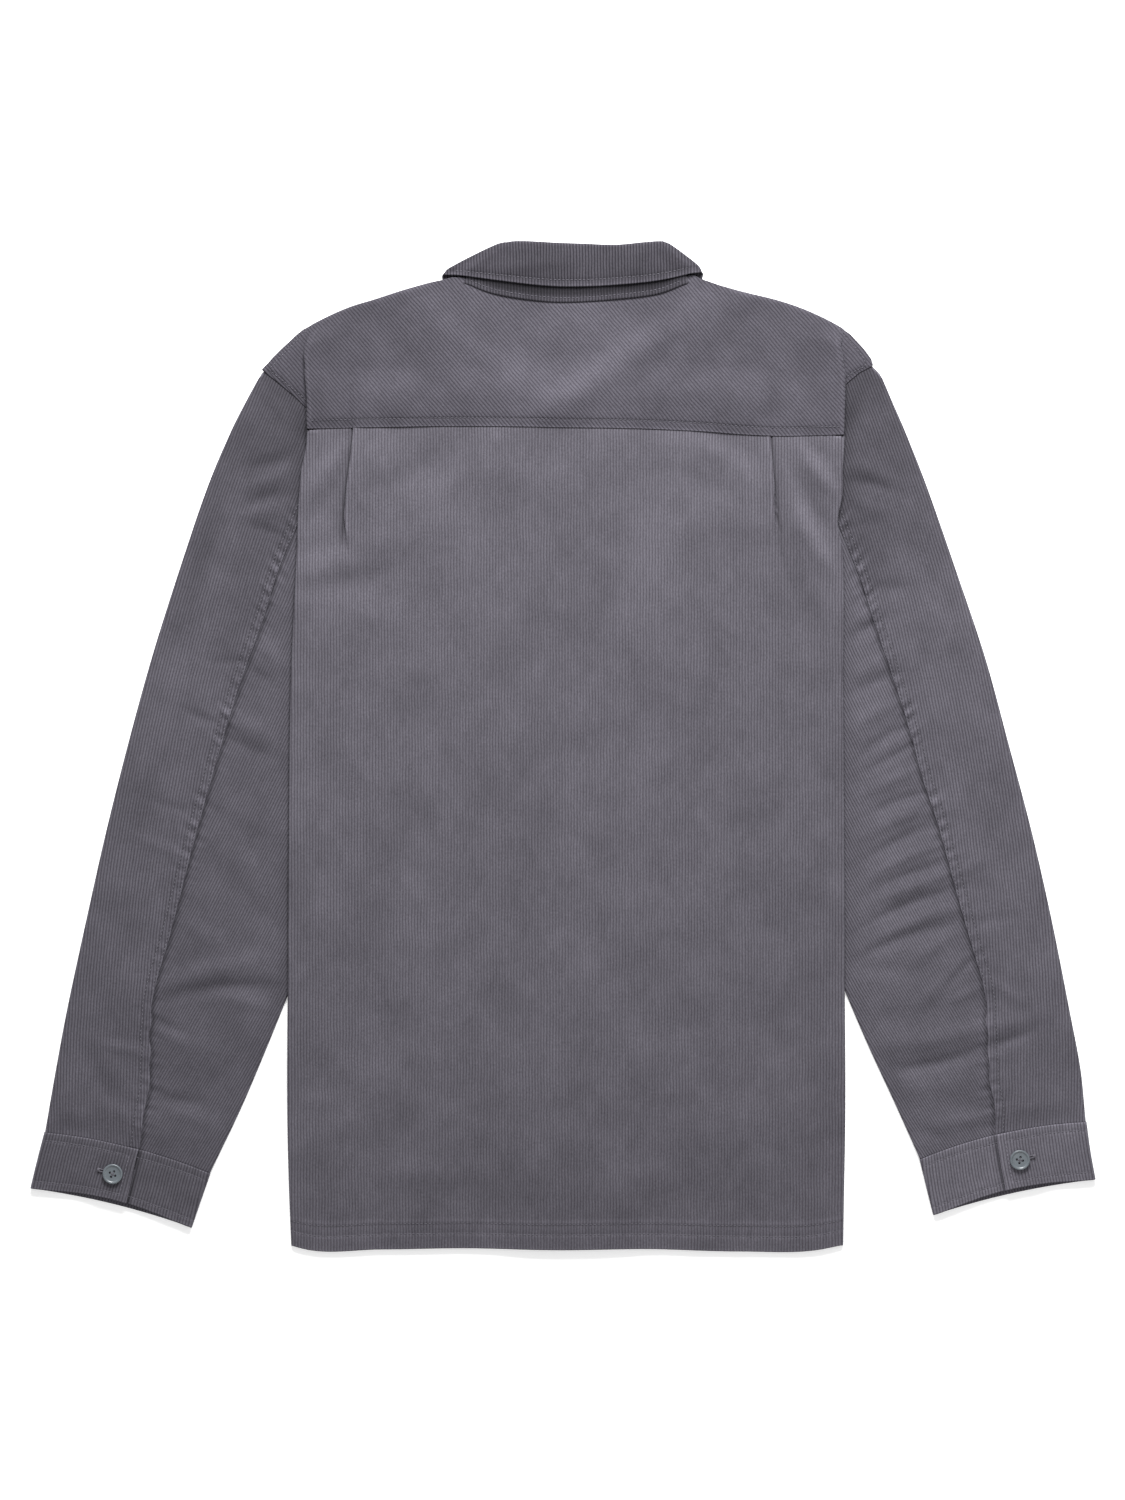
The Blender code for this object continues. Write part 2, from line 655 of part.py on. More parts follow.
def seam_place(tube, seam):
    """Where a sleeve's seam crosses each section, as a part of the way from the outer edge."""
    place = np.full(tube["width"].shape, 0.45)
    for _ in range(8):
        y = tube["outer_y"] + (tube["inner_y"] - tube["outer_y"]) * place
        x = flow(y, seam["y"], seam["x"])
        place = (x - tube["outer_x"]) / (tube["inner_x"] - tube["outer_x"])
    return place, y


def sleeve_puff(side, grid, from_outer, from_inner):
    """The soft rise of a sleeve's upper side, which is nothing where the body lies on it."""
    edge = by_y(BODY, side, grid[:, :, 1])
    outside = (edge - grid[:, :, 0]) * (1.0 if side == "left" else -1.0)
    free = np.where(grid[:, :, 1] < SLEEVE_FREE, from_inner, np.minimum(outside, from_inner))
    free = np.clip(free - PUFF_MARGIN, 0.0, None)
    return SLEEVE_PUFF * (1.0 - np.exp(-from_outer / 9.0)) * (1.0 - np.exp(-free / 16.0))


def sleeve_grid(side):
    """One sleeve from the armhole to the cuff seam."""
    tube = sections(LEFT_SLEEVE if side == "left" else RIGHT_SLEEVE, 22)
    line, seam_y = seam_place(tube, LEFT_SEAM if side == "left" else RIGHT_SEAM)
    lap = np.interp(seam_y, SEAM_LAP["y"][::-1], SEAM_LAP["lap"][::-1])
    lift = np.interp(seam_y, SEAM_LAP["y"][::-1], SEAM_LAP["lift"][::-1])
    grid, from_outer, level, upper = wrap(tube, line, lap, lift, LAYER, FLOOR, (6, 5, 7))
    puff = sleeve_puff(side, grid, from_outer, tube["width"] - from_outer)
    grid[:, :, 2] += puff * smooth(0.4, 1.0, level)
    # The upper side carries on under the yoke and the back, where the armhole is lapped
    tuck_in = np.where(level == 1.0, ARMHOLE_LAP * math.sqrt(0.5), 0.0)
    grid[0, :, 0] += tuck_in * (1.0 if side == "left" else -1.0)
    grid[0, :, 1] += tuck_in
    return grid


def cuff_grid(side):
    """One cuff band, whose upper end laps over the lower one."""
    tube = sections(LEFT_CUFF if side == "left" else RIGHT_CUFF, 5)
    grid = wrap(tube, tube["end"], CUFF_LAP, 1.0, CUFF_LAYER, CUFF_CLOTH / 2, (6, 6, 7))[0]
    return grid


def strip_ends(source, fold_z, edge_z):
    """The fold and edge points of a collar strip's stations."""
    fold = np.stack([source["fold_x"], source["fold_y"], fold_z + 0.0 * source["fold_x"]], axis=1)
    edge = np.stack([source["edge_x"], source["edge_y"], edge_z + 0.0 * source["edge_x"]], axis=1)
    return np.stack([fold, edge], axis=1)


def crease(start, end, outward):
    """Stations round a half circle from one station to the one above or below it."""
    turn = np.linspace(0.0, math.pi, TURN_POINTS + 2)[1:-1, None, None]
    half = (end - start) / 2
    return (start + end) / 2 - half * np.cos(turn) + outward * np.abs(half[:, 2:]) * np.sin(turn)


def collar_grid(left, back, right, front_z, back_fold_z, back_edge_z):
    """A collar strip: each front part lies below, and the creases roll round to the back part."""
    first = strip_ends(left, front_z, front_z)
    second = strip_ends(back, back_fold_z, back_edge_z)
    third = strip_ends(right, front_z, front_z)
    left_crease = crease(first[-1], second[0], LEFT_CREASE)
    right_crease = crease(second[-1], third[0], RIGHT_CREASE)
    ends = np.concatenate([first, left_crease, second, right_crease, third])
    part = np.linspace(0.0, 1.0, 5)[None, :, None]
    return ends[:, :1, :] * (1.0 - part) + ends[:, 1:, :] * part


def make_material(name, colour, roughness):
    """A plain material with the colour given as sRGB parts of 255."""
    linear = [((part / 255 + 0.055) / 1.055) ** 2.4 for part in colour]
    material = bpy.data.materials.new(name)
    material.use_nodes = True
    shader = material.node_tree.nodes["Principled BSDF"]
    shader.inputs["Base Color"].default_value = (*linear, 1.0)
    shader.inputs["Roughness"].default_value = roughness
    shader.inputs["Metallic"].default_value = 0.0
    material.diffuse_color = (*linear, 1.0)
    return material


def cloth(name, grid, material, thickness=CLOTH):
    """A wall of cloth over a grid of points."""
    rows, columns = grid.shape[:2]
    points = (grid.reshape(-1, 3) - (ORIGIN_X, ORIGIN_Y, 0.0)) * METRE
    corner = np.arange(rows * columns).reshape(rows, columns)
    faces = np.stack([corner[:-1, :-1], corner[:-1, 1:], corner[1:, 1:], corner[1:, :-1]], axis=2)
    mesh = bpy.data.meshes.new(name)
    mesh.from_pydata(points.tolist(), [], faces.reshape(-1, 4).tolist())
    mesh.materials.append(material)
    item = bpy.data.objects.new(name, mesh)
    PARTS.objects.link(item)
    wall = item.modifiers.new("Wall", "SOLIDIFY")
    wall.thickness = thickness * METRE
    wall.offset = 0.0
    return item


def button(name, x, y, z, material, sides, face_up):
    """A turned four-hole button whose back is at z."""
    turned = [
        (0.0, 0.0), (BUTTON_RADIUS - 1.0, 0.0), (BUTTON_RADIUS, 1.0),
        (BUTTON_RADIUS, BUTTON_THICK - 0.5), (BUTTON_RADIUS - 0.5, BUTTON_THICK),
        (BUTTON_RADIUS - BUTTON_RIM, BUTTON_THICK),
        (BUTTON_RADIUS - BUTTON_RIM - 0.5, BUTTON_THICK - BUTTON_DISH),
        (0.0, BUTTON_THICK - BUTTON_DISH),
    ]
    shape = bmesh.new()
    corners = [shape.verts.new((radius * METRE, 0.0, height * METRE)) for radius, height in turned]
    edges = [shape.edges.new(pair) for pair in zip(corners, corners[1:])]
    bmesh.ops.spin(shape, geom=corners + edges, axis=(0.0, 0.0, 1.0), cent=(0.0, 0.0, 0.0),
                   angle=2.0 * math.pi, steps=sides, use_merge=True)
    bmesh.ops.remove_doubles(shape, verts=shape.verts, dist=0.00001)
    bmesh.ops.recalc_face_normals(shape, faces=shape.faces)
    mesh = bpy.data.meshes.new(name)
    shape.to_mesh(mesh)
    shape.free()
    mesh.materials.append(material)
    item = bpy.data.objects.new(name, mesh)
    PARTS.objects.link(item)
    item.location = ((x - ORIGIN_X) * METRE, (y - ORIGIN_Y) * METRE, z * METRE)
    if not face_up:
        item.rotation_euler = (math.pi, 0.0, 0.0)
    pierce(item, sides)
    return item


def pierce(item, sides):
    """Cuts the four thread holes."""
    shape = bmesh.new()
    for across in (-HOLE_SPACING, HOLE_SPACING):
        for along in (-HOLE_SPACING, HOLE_SPACING):
            made = bmesh.ops.create_cone(
                shape, cap_ends=True, segments=8 if sides > 16 else 6, radius1=HOLE_RADIUS * METRE,
                radius2=HOLE_RADIUS * METRE, depth=3.0 * BUTTON_THICK * METRE)
            bmesh.ops.translate(shape, verts=made["verts"],
                                vec=(across * METRE, along * METRE, BUTTON_THICK / 2 * METRE))
    mesh = bpy.data.meshes.new(item.name + "_holes")
    shape.to_mesh(mesh)
    shape.free()
    cutter = bpy.data.objects.new(item.name + "_holes", mesh)
    CUTTERS.objects.link(cutter)
    cutter.location = item.location
    cutter.rotation_euler = item.rotation_euler
    cutter.hide_render = True
    cutter.display_type = "WIRE"
    cut = item.modifiers.new("Thread holes", "BOOLEAN")
    cut.operation = "DIFFERENCE"
    cut.solver = "EXACT"
    cut.object = cutter


def build():
    """Makes every piece."""
    body_cloth = make_material("corduroy", (101, 100, 108), 0.92)
    yoke_cloth = make_material("corduroy_yoke", (104, 103, 112), 0.92)
    collar_cloth = make_material("corduroy_collar", (92, 91, 99), 0.92)
    sleeve_cloth = make_material("corduroy_sleeve", (98, 97, 104), 0.92)
    cuff_cloth = make_material("corduroy_cuff", (90, 89, 96), 0.92)
    front_cloth = make_material("corduroy_front", (99, 98, 106), 0.92)
    plastic = make_material("button_plastic", (118, 128, 127), 0.4)
    cloth("back_panel", back_grid(), body_cloth)
    cloth("back_yoke", yoke_grid(), yoke_cloth)
    fall = collar_grid(FALL_LEFT, FALL_BACK, FALL_RIGHT, FLOOR, FALL_HEIGHT, FALL_HEIGHT - FALL_DROOP)
    cloth("collar_fall", fall, collar_cloth)
    stand = collar_grid(STAND_LEFT, STAND_BACK, STAND_RIGHT, FLOOR + STEP, STAND_HEIGHT,
                        FLOOR + 2.0 * STEP)
    cloth("collar_stand", stand, collar_cloth)
    for number, side in enumerate(("left", "right")):
        cloth("front_" + side, front_grid(side), front_cloth)
        cloth("sleeve_" + side, sleeve_grid(side), sleeve_cloth)
        cloth("cuff_" + side, cuff_grid(side), cuff_cloth, CUFF_CLOTH)
        top = 2.0 * CUFF_LAYER + CUFF_CLOTH + BUTTON_GAP
        button("cuff_button_" + side, CUFF_BUTTONS["x"][number], CUFF_BUTTONS["y"][number], top,
               plastic, 18, True)
    cloth("front_band", band_grid(), front_cloth)
    for number in range(FRONT_BUTTONS):
        button(f"front_button_{number + 1}", FRONT_LINE, TOP_FRONT_BUTTON - FRONT_BUTTON_STEP * number,
               BUTTON_THICK, plastic, 10, False)


for item in list(bpy.data.objects):
    bpy.data.objects.remove(item, do_unlink=True)

ORIGIN_X = 0.0
ORIGIN_Y = 0.5
PARTS = bpy.data.collections.new(OBJECT_NAME)
CUTTERS = bpy.data.collections.new("cutters")
bpy.context.scene.collection.children.link(PARTS)
bpy.context.scene.collection.children.link(CUTTERS)
build()
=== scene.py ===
"""A corduroy shacket laid out face down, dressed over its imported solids.

Every cloth piece is a grid of points worked out from tables of sizes in millimetres and given its
wall by Solidify. x runs to the right of the picture, y towards the collar and z up from the
surface that the garment lies on. A mesh is made in metres.
"""
import math

import bmesh
import bpy
import numpy as np
from mathutils import Matrix, Vector


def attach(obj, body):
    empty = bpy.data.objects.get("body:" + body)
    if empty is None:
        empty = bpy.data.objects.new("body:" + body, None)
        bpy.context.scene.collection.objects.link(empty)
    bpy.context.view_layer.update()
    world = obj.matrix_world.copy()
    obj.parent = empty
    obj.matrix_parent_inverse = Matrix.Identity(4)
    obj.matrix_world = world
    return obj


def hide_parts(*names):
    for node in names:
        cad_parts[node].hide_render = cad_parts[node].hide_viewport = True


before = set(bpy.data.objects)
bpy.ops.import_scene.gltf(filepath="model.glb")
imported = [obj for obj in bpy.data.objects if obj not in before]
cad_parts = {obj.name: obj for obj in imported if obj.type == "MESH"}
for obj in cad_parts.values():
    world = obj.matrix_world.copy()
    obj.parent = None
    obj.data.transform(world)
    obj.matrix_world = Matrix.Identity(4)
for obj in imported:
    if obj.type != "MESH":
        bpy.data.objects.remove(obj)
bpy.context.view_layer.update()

# Metres in a millimetre, and where the frame's origin lies in the y of the tables
METRE = 0.001
ORIGIN_Y = 0.5
SIDES = ("left", "right")

# Which way the middle of the body lies from each side
TOWARD = {"left": 1.0, "right": -1.0}

# Cloth: the wall of one layer, the step from one layer's middle to the next in the same piece,
# and the step from one piece to the next. Two pieces that meet at a seam are SEAM_GAP apart.
CLOTH = 1.1
LAYER = 1.5
STEP = 2.0
FLOOR = CLOTH / 2
SLEEVE_STACK = LAYER + STEP
SEAM_GAP = 0.35
CUFF_CLOTH = 2.2
CUFF_LAYER = 2.6

# Corduroy: its wales are 1.64 mm apart, which is two pixels of the render or less, so they are
# drawn 2.4 mm apart
WALE = 2.4
WALE_HEIGHT = 0.3

# Stitches: length, distance from one to the next, where a line's first one starts, half the
# width of each thread and its sides, how far a stitch's line lies above its cloth, and how far it
# lies from the middle of the cloth on the underside
STITCH = 2.5
STITCH_STEP = 3.3
FIRST_STITCH = 0.4
THREAD = 0.27
BUTTONHOLE_THREAD = 0.3
BUTTON_THREAD = 0.17
THREAD_SIDES = 6
STITCH_LIFT = 0.1
UNDERSIDE_LIFT = 0.33

# Buttons: a hole's middle is HOLE_SPACING from the button's middle in x and in y, a button lies
# BUTTON_GAP above its cloth, and its thread lies THREAD_HEIGHT above its back. Edges sharper than
# SHARP_ANGLE degrees show as edges.
BUTTON_THICK = 2.6
BUTTON_SIDES = 56
HOLE_RADIUS = 0.95
HOLE_SIDES = 16
HOLE_SPACING = 1.7
BUTTON_GAP = 0.3
THREAD_HEIGHT = 2.1
SHARP_ANGLE = 34.0

# Front closure, hidden on the underside
FRONT_LINE = 6.0
BAND_HALF = 16.0
BAND_LIFT = BUTTON_THICK + BUTTON_GAP
FRONT_BUTTONS = 6
TOP_FRONT_BUTTON = 258.0
FRONT_BUTTON_STEP = 112.0

# How far a sleeve's thickness carries on under the body, and the slope down from it
PAD_MARGIN = 14.0
PAD_RAMP = 46.0

# Where each lift from below starts and ends its fade: in y, or for a slope in the distance from
# the middle of the closure or the collar
PAD_HEAD = (306.0, 335.0)
SLEEVE_HEAD = (120.0, 162.0)
BUTTON_SLOPE = (20.0, 90.0)
BUTTON_FOOT = (-396.0, -345.0)
BUTTON_HEAD = (272.0, 316.0)
POINTS_SLOPE = (112.0, 160.0)
POINTS_FOOT = (250.0, 292.0)
LAP_SLOPE = (22.0, 80.0)
LAP_HEAD = (320.0, 350.0)

# Rise of a sleeve's upper side, which starts this far from the body, and where it leaves the body
SLEEVE_PUFF = 3.6
PUFF_MARGIN = 7.0
SLEEVE_FREE = -205.0

# Laps at the yoke seam and at the armhole
YOKE_LAP = 10.0
ARMHOLE_LAP = {"left": 15.0, "right": 24.0}
NECK_LAP = 3.0

HEM_LINE = -401.0

# Rows of the back start at BACK_TOP. Those of the yoke run from one of the next two to the
# other, and it is about YOKE_DEPTH deep.
BACK_TOP = 264.0
YOKE_TOP_ROW = 334.0
YOKE_LAST_ROW = 254.0
YOKE_DEPTH = 108.0

# Folds: points round each turn, how far the columns over a fold reach from its edge, and the
# step from one layer of a pleat to the next
TURN_POINTS = 6
PLEAT_REACH = 64.0
SHOULDER_REACH = 58.0
PLEAT_LAYER = 1.2

# How far from its edge a lap starts to sink, and where it has sunk
LAP_RUNOUT = (16.0, 44.0)

# The doubled hem: its added thickness, and where it ends above the edge
HEM_DOUBLED = 0.7
HEM_TURN = (20.6, 22.6)

# How far the cloth sinks along a line of stitches, in one layer and where it is firm, and how far
# from an edge it is pressed
SOFT_SINK = 0.3
FIRM_SINK = 0.35
PRESS_REACH = 7.0

# Height of the gathers along the hem, the yoke seam, the felled seam's two sides, the cuff's two
# edges, the fall's edge and the stand's
HEM_GATHERS = 0.3
YOKE_GATHERS = 0.16
FELLED_GATHERS = 0.62
INNER_GATHERS = 0.34
CUFF_GATHERS = (0.2, 0.16)
FALL_GATHERS = 0.16
STAND_GATHERS = 0.14

# Slant of the yoke's wales in degrees, and how far its edge curls down along the shoulders
YOKE_SLANT = 41.0
SHOULDER_CURL = 4.0

# How finely each piece is drawn, in rows or sections and in columns
BACK_ROWS = 236
BACK_MIDDLE = 58
UNDER_COLUMNS = 5
YOKE_ROWS = 112
YOKE_MIDDLE = 76
FRONT_ROWS = 170
FRONT_COLUMNS = 44
BAND_ROWS = 220
BAND_COLUMNS = 22
SLEEVE_SECTIONS = 320
CUFF_SECTIONS = 48
COLLAR_BACK = 120
COLLAR_FRONT = 22
FALL_COLUMNS = 30
STAND_COLUMNS = 26

# Distance of each line of stitches from the edge that it follows
HEM_STITCHES = (12.0, 20.0)
YOKE_STITCHES = 6.6
ARMHOLE_STITCHES = 6.0
FELLED_STITCHES = (1.4, 7.0)
CUFF_STITCHES = 6.4
BAND_STITCHES = 3.2
COLLAR_STITCHES = 5.6
STAND_STITCHES = 2.6


def table(columns, rows):
    """Columns by name, each an array with one value for every row."""
    values = np.array(rows, float).T
    return dict(zip(columns.split(), values))


# Side edges of the body, which lie over the sleeves
BODY = table("y left right", [
    (340, -205.5, 226.5),
    (326, -205.6, 226),
    (312, -208.3, 224.6),
    (296, -205.6, 224.2),
    (274, -203.4, 223.8),
    (254, -203.4, 223.2),
    (222, -207.7, 222),
    (200, -209.4, 221.8),
    (178, -210.6, 218),
    (157, -211.3, 221.8),
    (148, -211.7, 222.2),
    (52, -216, 222.4),
    (-70, -217.6, 223.2),
    (-192, -218.4, 223.6),
    (-315, -218.6, 224),
    (-360, -217.4, 223.2),
    (-401, -215.7, 222.6),
])

# Where the underside of the back ends: the armhole, then the side seam
SIDE_SEAM = table("y left right", [
    (300, -234, 246),
    (254, -193, 206),
    (200, -141, 154),
    (172, -117, 129),
    (135, -117, 129),
    (60, -150, 158),
    (-50, -182, 190),
    (-192, -194, 200),
    (-401, -196, 202),
])

# The edge of the sleeves that is nearest the middle of the body
SLEEVE_SIDE = table("y left right", [
    (300, -240, 253),
    (254, -192, 206),
    (200, -146, 160),
    (176, -124, 136),
    (100, -129, 141),
    (0, -150, 162),
    (-100, -180, 190),
    (-200, -221, 228),
    (-330, -277, 284),
])

HEM = table("x y", [
    (-216, -400),
    (-208, -402.2),
    (-146, -402.8),
    (-83, -401.8),
    (-2, -403.2),
    (66, -402.4),
    (140, -404.4),
    (206, -402.8),
    (222, -399.6),
])

YOKE_SEAM = table("x y", [
    (-205, 252.9),
    (-166, 253.7),
    (-92, 255.3),
    (-2, 254),
    (79, 252.6),
    (112, 251),
    (144, 248.4),
    (165, 247.3),
    (223, 248.2),
])

# Shoulder slope, neck seam and shoulder slope again
YOKE_TOP = table("x y", [
    (-242, 298),
    (-234, 308.5),
    (-226.9, 315.9),
    (-212, 330),
    (-195, 339.6),
    (-169, 351.2),
    (-152, 356.4),
    (-124, 365.3),
    (-97.6, 372),
    (-86, 374.4),
    (-74, 370),
    (-56, 361.2),
    (-32.4, 356.8),
    (-4.3, 354),
    (17.6, 354.8),
    (56, 357.5),
    (82, 362.5),
    (96, 371),
    (105, 374),
    (113.7, 372),
    (126.8, 367.4),
    (149.2, 361.5),
    (168.8, 356.8),
    (196, 347.5),
    (216.5, 337.4),
    (229.6, 329),
    (240.8, 316.8),
    (247.6, 306),
    (252, 297),
])

# Shoulder seam and neckline of each front, then its edge at the closure
FRONT_LEFT = table("y outer inner", [
    (357, -97, -84),
    (340, -152, -56),
    (326, -196, -30),
    (318, -212, -10.4),
    (300, -234, -10.4),
])
FRONT_RIGHT = table("y outer inner", [
    (357, 121, 108),
    (340, 180, 82),
    (326, 222, 50),
    (320, 231, 27),
    (306, 243, -6),
    (300, 246, -6),
])
FRONTS = {"left": FRONT_LEFT, "right": FRONT_RIGHT}

# The yoke's side, sewn over the top of the sleeve
ARMHOLE = table("y left right", [
    (334, -206.4, 222.4),
    (328.6, -212.4, 229.6),
    (314.8, -224.4, 240.8),
    (306, -231.6, 246.4),
    (300, -236, 248),
    (293.6, -241, 237.1),
    (282.8, -229.6, 225.8),
    (268, -214.8, 213),
    (253, -202, 203),
])

# Edge of each pleat, how deep it goes and how far it is folded
PLEATS = table("y left right left_depth right_depth left_fold right_fold", [
    (264, -166.8, 164.4, 15, 15, 1, 1),
    (254, -166.6, 164.6, 15, 15, 1, 1),
    (230, -169, 166.2, 12, 13, 1, 1),
    (206, -172, 168, 7.5, 9.5, 1, 1),
    (183, -174.4, 170.4, 3, 4, 0.9, 0.6),
    (168, -175.2, 172, 3, 3, 0.45, 0.25),
    (149, -176, 174.4, 3, 3, 0, 0),
    (128, -176, 180, 3, 3, 0, 0),
    (-401, -176, 180, 3, 3, 0, 0),
])

# How deep and how far the body is folded over each sleeve at the shoulder
SHOULDER = table("y left_depth right_depth fold", [
    (334, 3, 3, 0),
    (320, 3, 3, 0.35),
    (306, 6, 6, 0.8),
    (292, 11, 12, 1),
    (254, 21, 21, 1),
])

# Soft folds laid by hand: where the middle of each is, which way it runs in degrees, half its
# length, half its width, its height above or below the cloth, and how far its ends bend aside
MARKS = "x y turn length width height bend"
BODY_MARKS = table(MARKS, [
    (-122, 221, 29, 44, 9, -1.5, 0),
    (-96, 206, 24, 60, 14, 0.8, 3),
    (128, 232, -30, 30, 8, 1.5, -4),
    (112, 213, -20, 36, 10, -1, -4),
    (207, 216, -52, 26, 6.5, 3.6, 0),
    (201, 192, -60, 34, 6, -2.1, 3),
    (197, 168, -62, 36, 8, 3.2, 4),
    (190, 128, -70, 40, 9, -1.3, 0),
    (175, 150, -78, 34, 4, -1, 3),
    (-188, 222, 50, 28, 7, 2, 0),
    (-192, 196, 54, 24, 6, -1.4, 0),
    (-172, 150, 18, 44, 11, 1.5, 3),
    (-168, 132, 14, 46, 9, -1.5, 4),
    (-150, 108, -8, 80, 18, 1, 0),
    (118, -80, 88, 190, 30, 1.4, 6),
    (-96, -210, 86, 150, 28, 1.4, -5),
    (22, -20, 94, 230, 22, -1, 9),
    (-150, -60, 91, 170, 20, 0.8, 5),
    (172, -240, 84, 130, 18, -0.8, -4),
    (-20, -310, 92, 90, 20, 0.8, 3),
    (70, 120, 80, 120, 24, 0.8, 6),
    (-110, 60, 97, 120, 22, -0.8, 5),
    (120, -330, 4, 70, 12, -0.7, 3),
    (-120, -342, -3, 60, 11, 0.7, 2),
    (60, 318, 33, 80, 13, 1.7, -5),
    (38, 288, 35, 84, 13, -1, -6),
    (10, 282, 30, 90, 12, 1.5, 5),
    (128, 322, 46, 46, 10, -1.4, 4),
    (-78, 322, -40, 54, 12, 1.4, 5),
    (-112, 300, -44, 50, 11, -1, 4),
    (-150, 290, 62, 40, 14, 0.8, 0),
    (184, 286, -64, 34, 10, 1, 3),
])
LEFT_MARKS = table(MARKS, [
    (-232, 227, 17, 18, 5, -1.4, 2),
    (-235, 213, 22, 19, 5.5, 1.5, 2),
    (-240, 198, 20, 18, 4.5, -1.6, -2),
    (-243, 187, 12, 20, 6, 1.2, 0),
    (-236, 172, -16, 14, 3.6, -1.1, 0),
    (-293, 141, 73, 62, 9, -1.5, 3),
    (-271, 150, 74, 50, 11, 1.1, 0),
    (-266, 67, 1, 15, 3.2, -1.1, 1),
    (-243, 57, -34, 18, 4, -0.9, 0),
    (-234, 74, -42, 22, 6, 0.9, 0),
    (-288, 22, -20, 16, 3.6, -1.1, 1),
    (-255, 0, -24, 24, 5, -1.1, 2),
    (-252, 16, -28, 24, 7, 1.1, 0),
    (-318, 10, 68, 44, 10, 1.1, 2),
    (-332, -40, 72, 50, 8, -1.1, 0),
    (-308, -50, -14, 20, 4, -0.9, 1.5),
    (-318, -82, -24, 24, 5, 0.9, 0),
    (-262, -62, -30, 36, 8, -0.8, 3),
    (-258, -92, -36, 34, 10, 0.9, 0),
    (-244, -130, -44, 30, 9, -0.8, 0),
    (-284, -152, -32, 32, 8, 0.9, 3),
    (-280, -178, 14, 40, 8, 1.9, -4),
    (-274, -193, 6, 46, 5.5, -2, -4),
    (-252, -205, -16, 24, 6, 1.1, 0),
    (-318, -223, -24, 17, 4, -1.2, 0),
    (-302, -236, -20, 26, 7, 0.9, 2),
    (-349, -242, -9, 20, 4.6, 1.2, 1),
    (-368, -266, -58, 32, 8, -1.2, 3),
    (-309, -283, -10, 22, 5, -1.1, 2),
    (-292, -298, -16, 24, 6, 0.8, 0),
    (-272, -262, 40, 22, 6, -0.7, 0),
    (-354, -292, -20, 22, 6, 0.7, 0),
])
RIGHT_MARKS = table(MARKS, [
    (238, 223, -14, 18, 5.5, 1.6, -2),
    (259, 227, -56, 22, 7, -1.3, 2),
    (246, 209, -12, 26, 4.6, -1.8, -3),
    (239, 195, -34, 20, 6, 1.5, 2),
    (234, 175, 10, 13, 4, -0.9, 0),
    (304, 120, -56, 54, 10, -1.5, 3),
    (276, 136, -66, 40, 10, 1.1, 0),
    (262, 126, 0, 22, 4.6, -1, 1),
    (238, 117, 32, 13, 4, -1, 0),
    (243, 93, 25, 19, 4.6, -1.3, -1),
    (242, 104, 28, 18, 4.6, 1.1, 0),
    (250, 51, 21, 24, 4.6, -1.1, -2),
    (249, 64, 26, 22, 6, 1.1, 0),
    (250, 26, 30, 26, 6, 1.3, -2),
    (258, 7, 33, 27, 4.6, -1.4, -2),
    (265, -8, 29, 24, 4, -1.4, 0),
    (262, -28, 24, 27, 5.5, 1.4, -1),
    (269, -44, 20, 27, 3.8, -1.3, -2),
    (268, -58, 24, 28, 5, 1.4, -2),
    (270, -75, 27, 34, 4.4, -1.5, -2),
    (273, -90, 26, 32, 4.4, 1.4, -2),
    (278, -102, 20, 28, 3.8, -1.4, -2),
    (280, -113, 21, 30, 4.2, 1.3, 0),
    (276, -127, 22, 40, 4.2, -1.8, -3),
    (282, -140, 22, 36, 5, 1.4, -2),
    (274, -153, 20, 46, 5, -1.5, -4),
    (296, -161, 34, 26, 5.5, 1.1, 0),
    (246, -178, -8, 25, 6.5, -1.1, 2),
    (317, -181, 46, 20, 3.8, -1.5, -1),
    (304, -190, 42, 26, 6, 1.1, 0),
    (324, -198, 26, 17, 3.8, 1.1, 0),
    (292, -211, 16, 40, 8, -0.7, 3),
    (300, -234, 12, 44, 8, 2, 2),
    (299, -254, 13, 46, 5.5, -1.9, 5),
    (292, -272, 6, 34, 8, 0.9, 2),
    (293, -312, -24, 17, 5, -1, 0),
    (320, -300, 6, 28, 6, 0.9, 0),
    (355, -197, -35, 17, 5, 1.3, 0),
    (366, -209, -66, 17, 4.6, -1, 0),
    (360, -222, 14, 21, 5.5, 1.1, 1),
    (356, -236, 18, 19, 4, -1.4, 1),
    (372, -254, -70, 26, 7, 0.7, 0),
    (326, 24, -64, 50, 9, 0.9, 2),
    (344, -30, -68, 56, 8, -1.1, 2),
    (346, -110, -60, 34, 8, 0.9, -2),
    (340, -140, 12, 18, 4.6, -0.9, 0),
    (326, -96, 24, 20, 5, 0.7, 0),
])
SLEEVE_MARKS = {"left": LEFT_MARKS, "right": RIGHT_MARKS}
COLLAR_MARKS = table(MARKS, [
    (-64, 388, 62, 16, 6, 0.8, 0),
    (30, 388, 84, 20, 7, -0.8, 0),
    (58, 388, 70, 22, 7, 1, 1),
    (-20, 384, 4, 36, 5, 0.7, -1),
    (82, 385, -48, 16, 5, -0.7, 0),
])

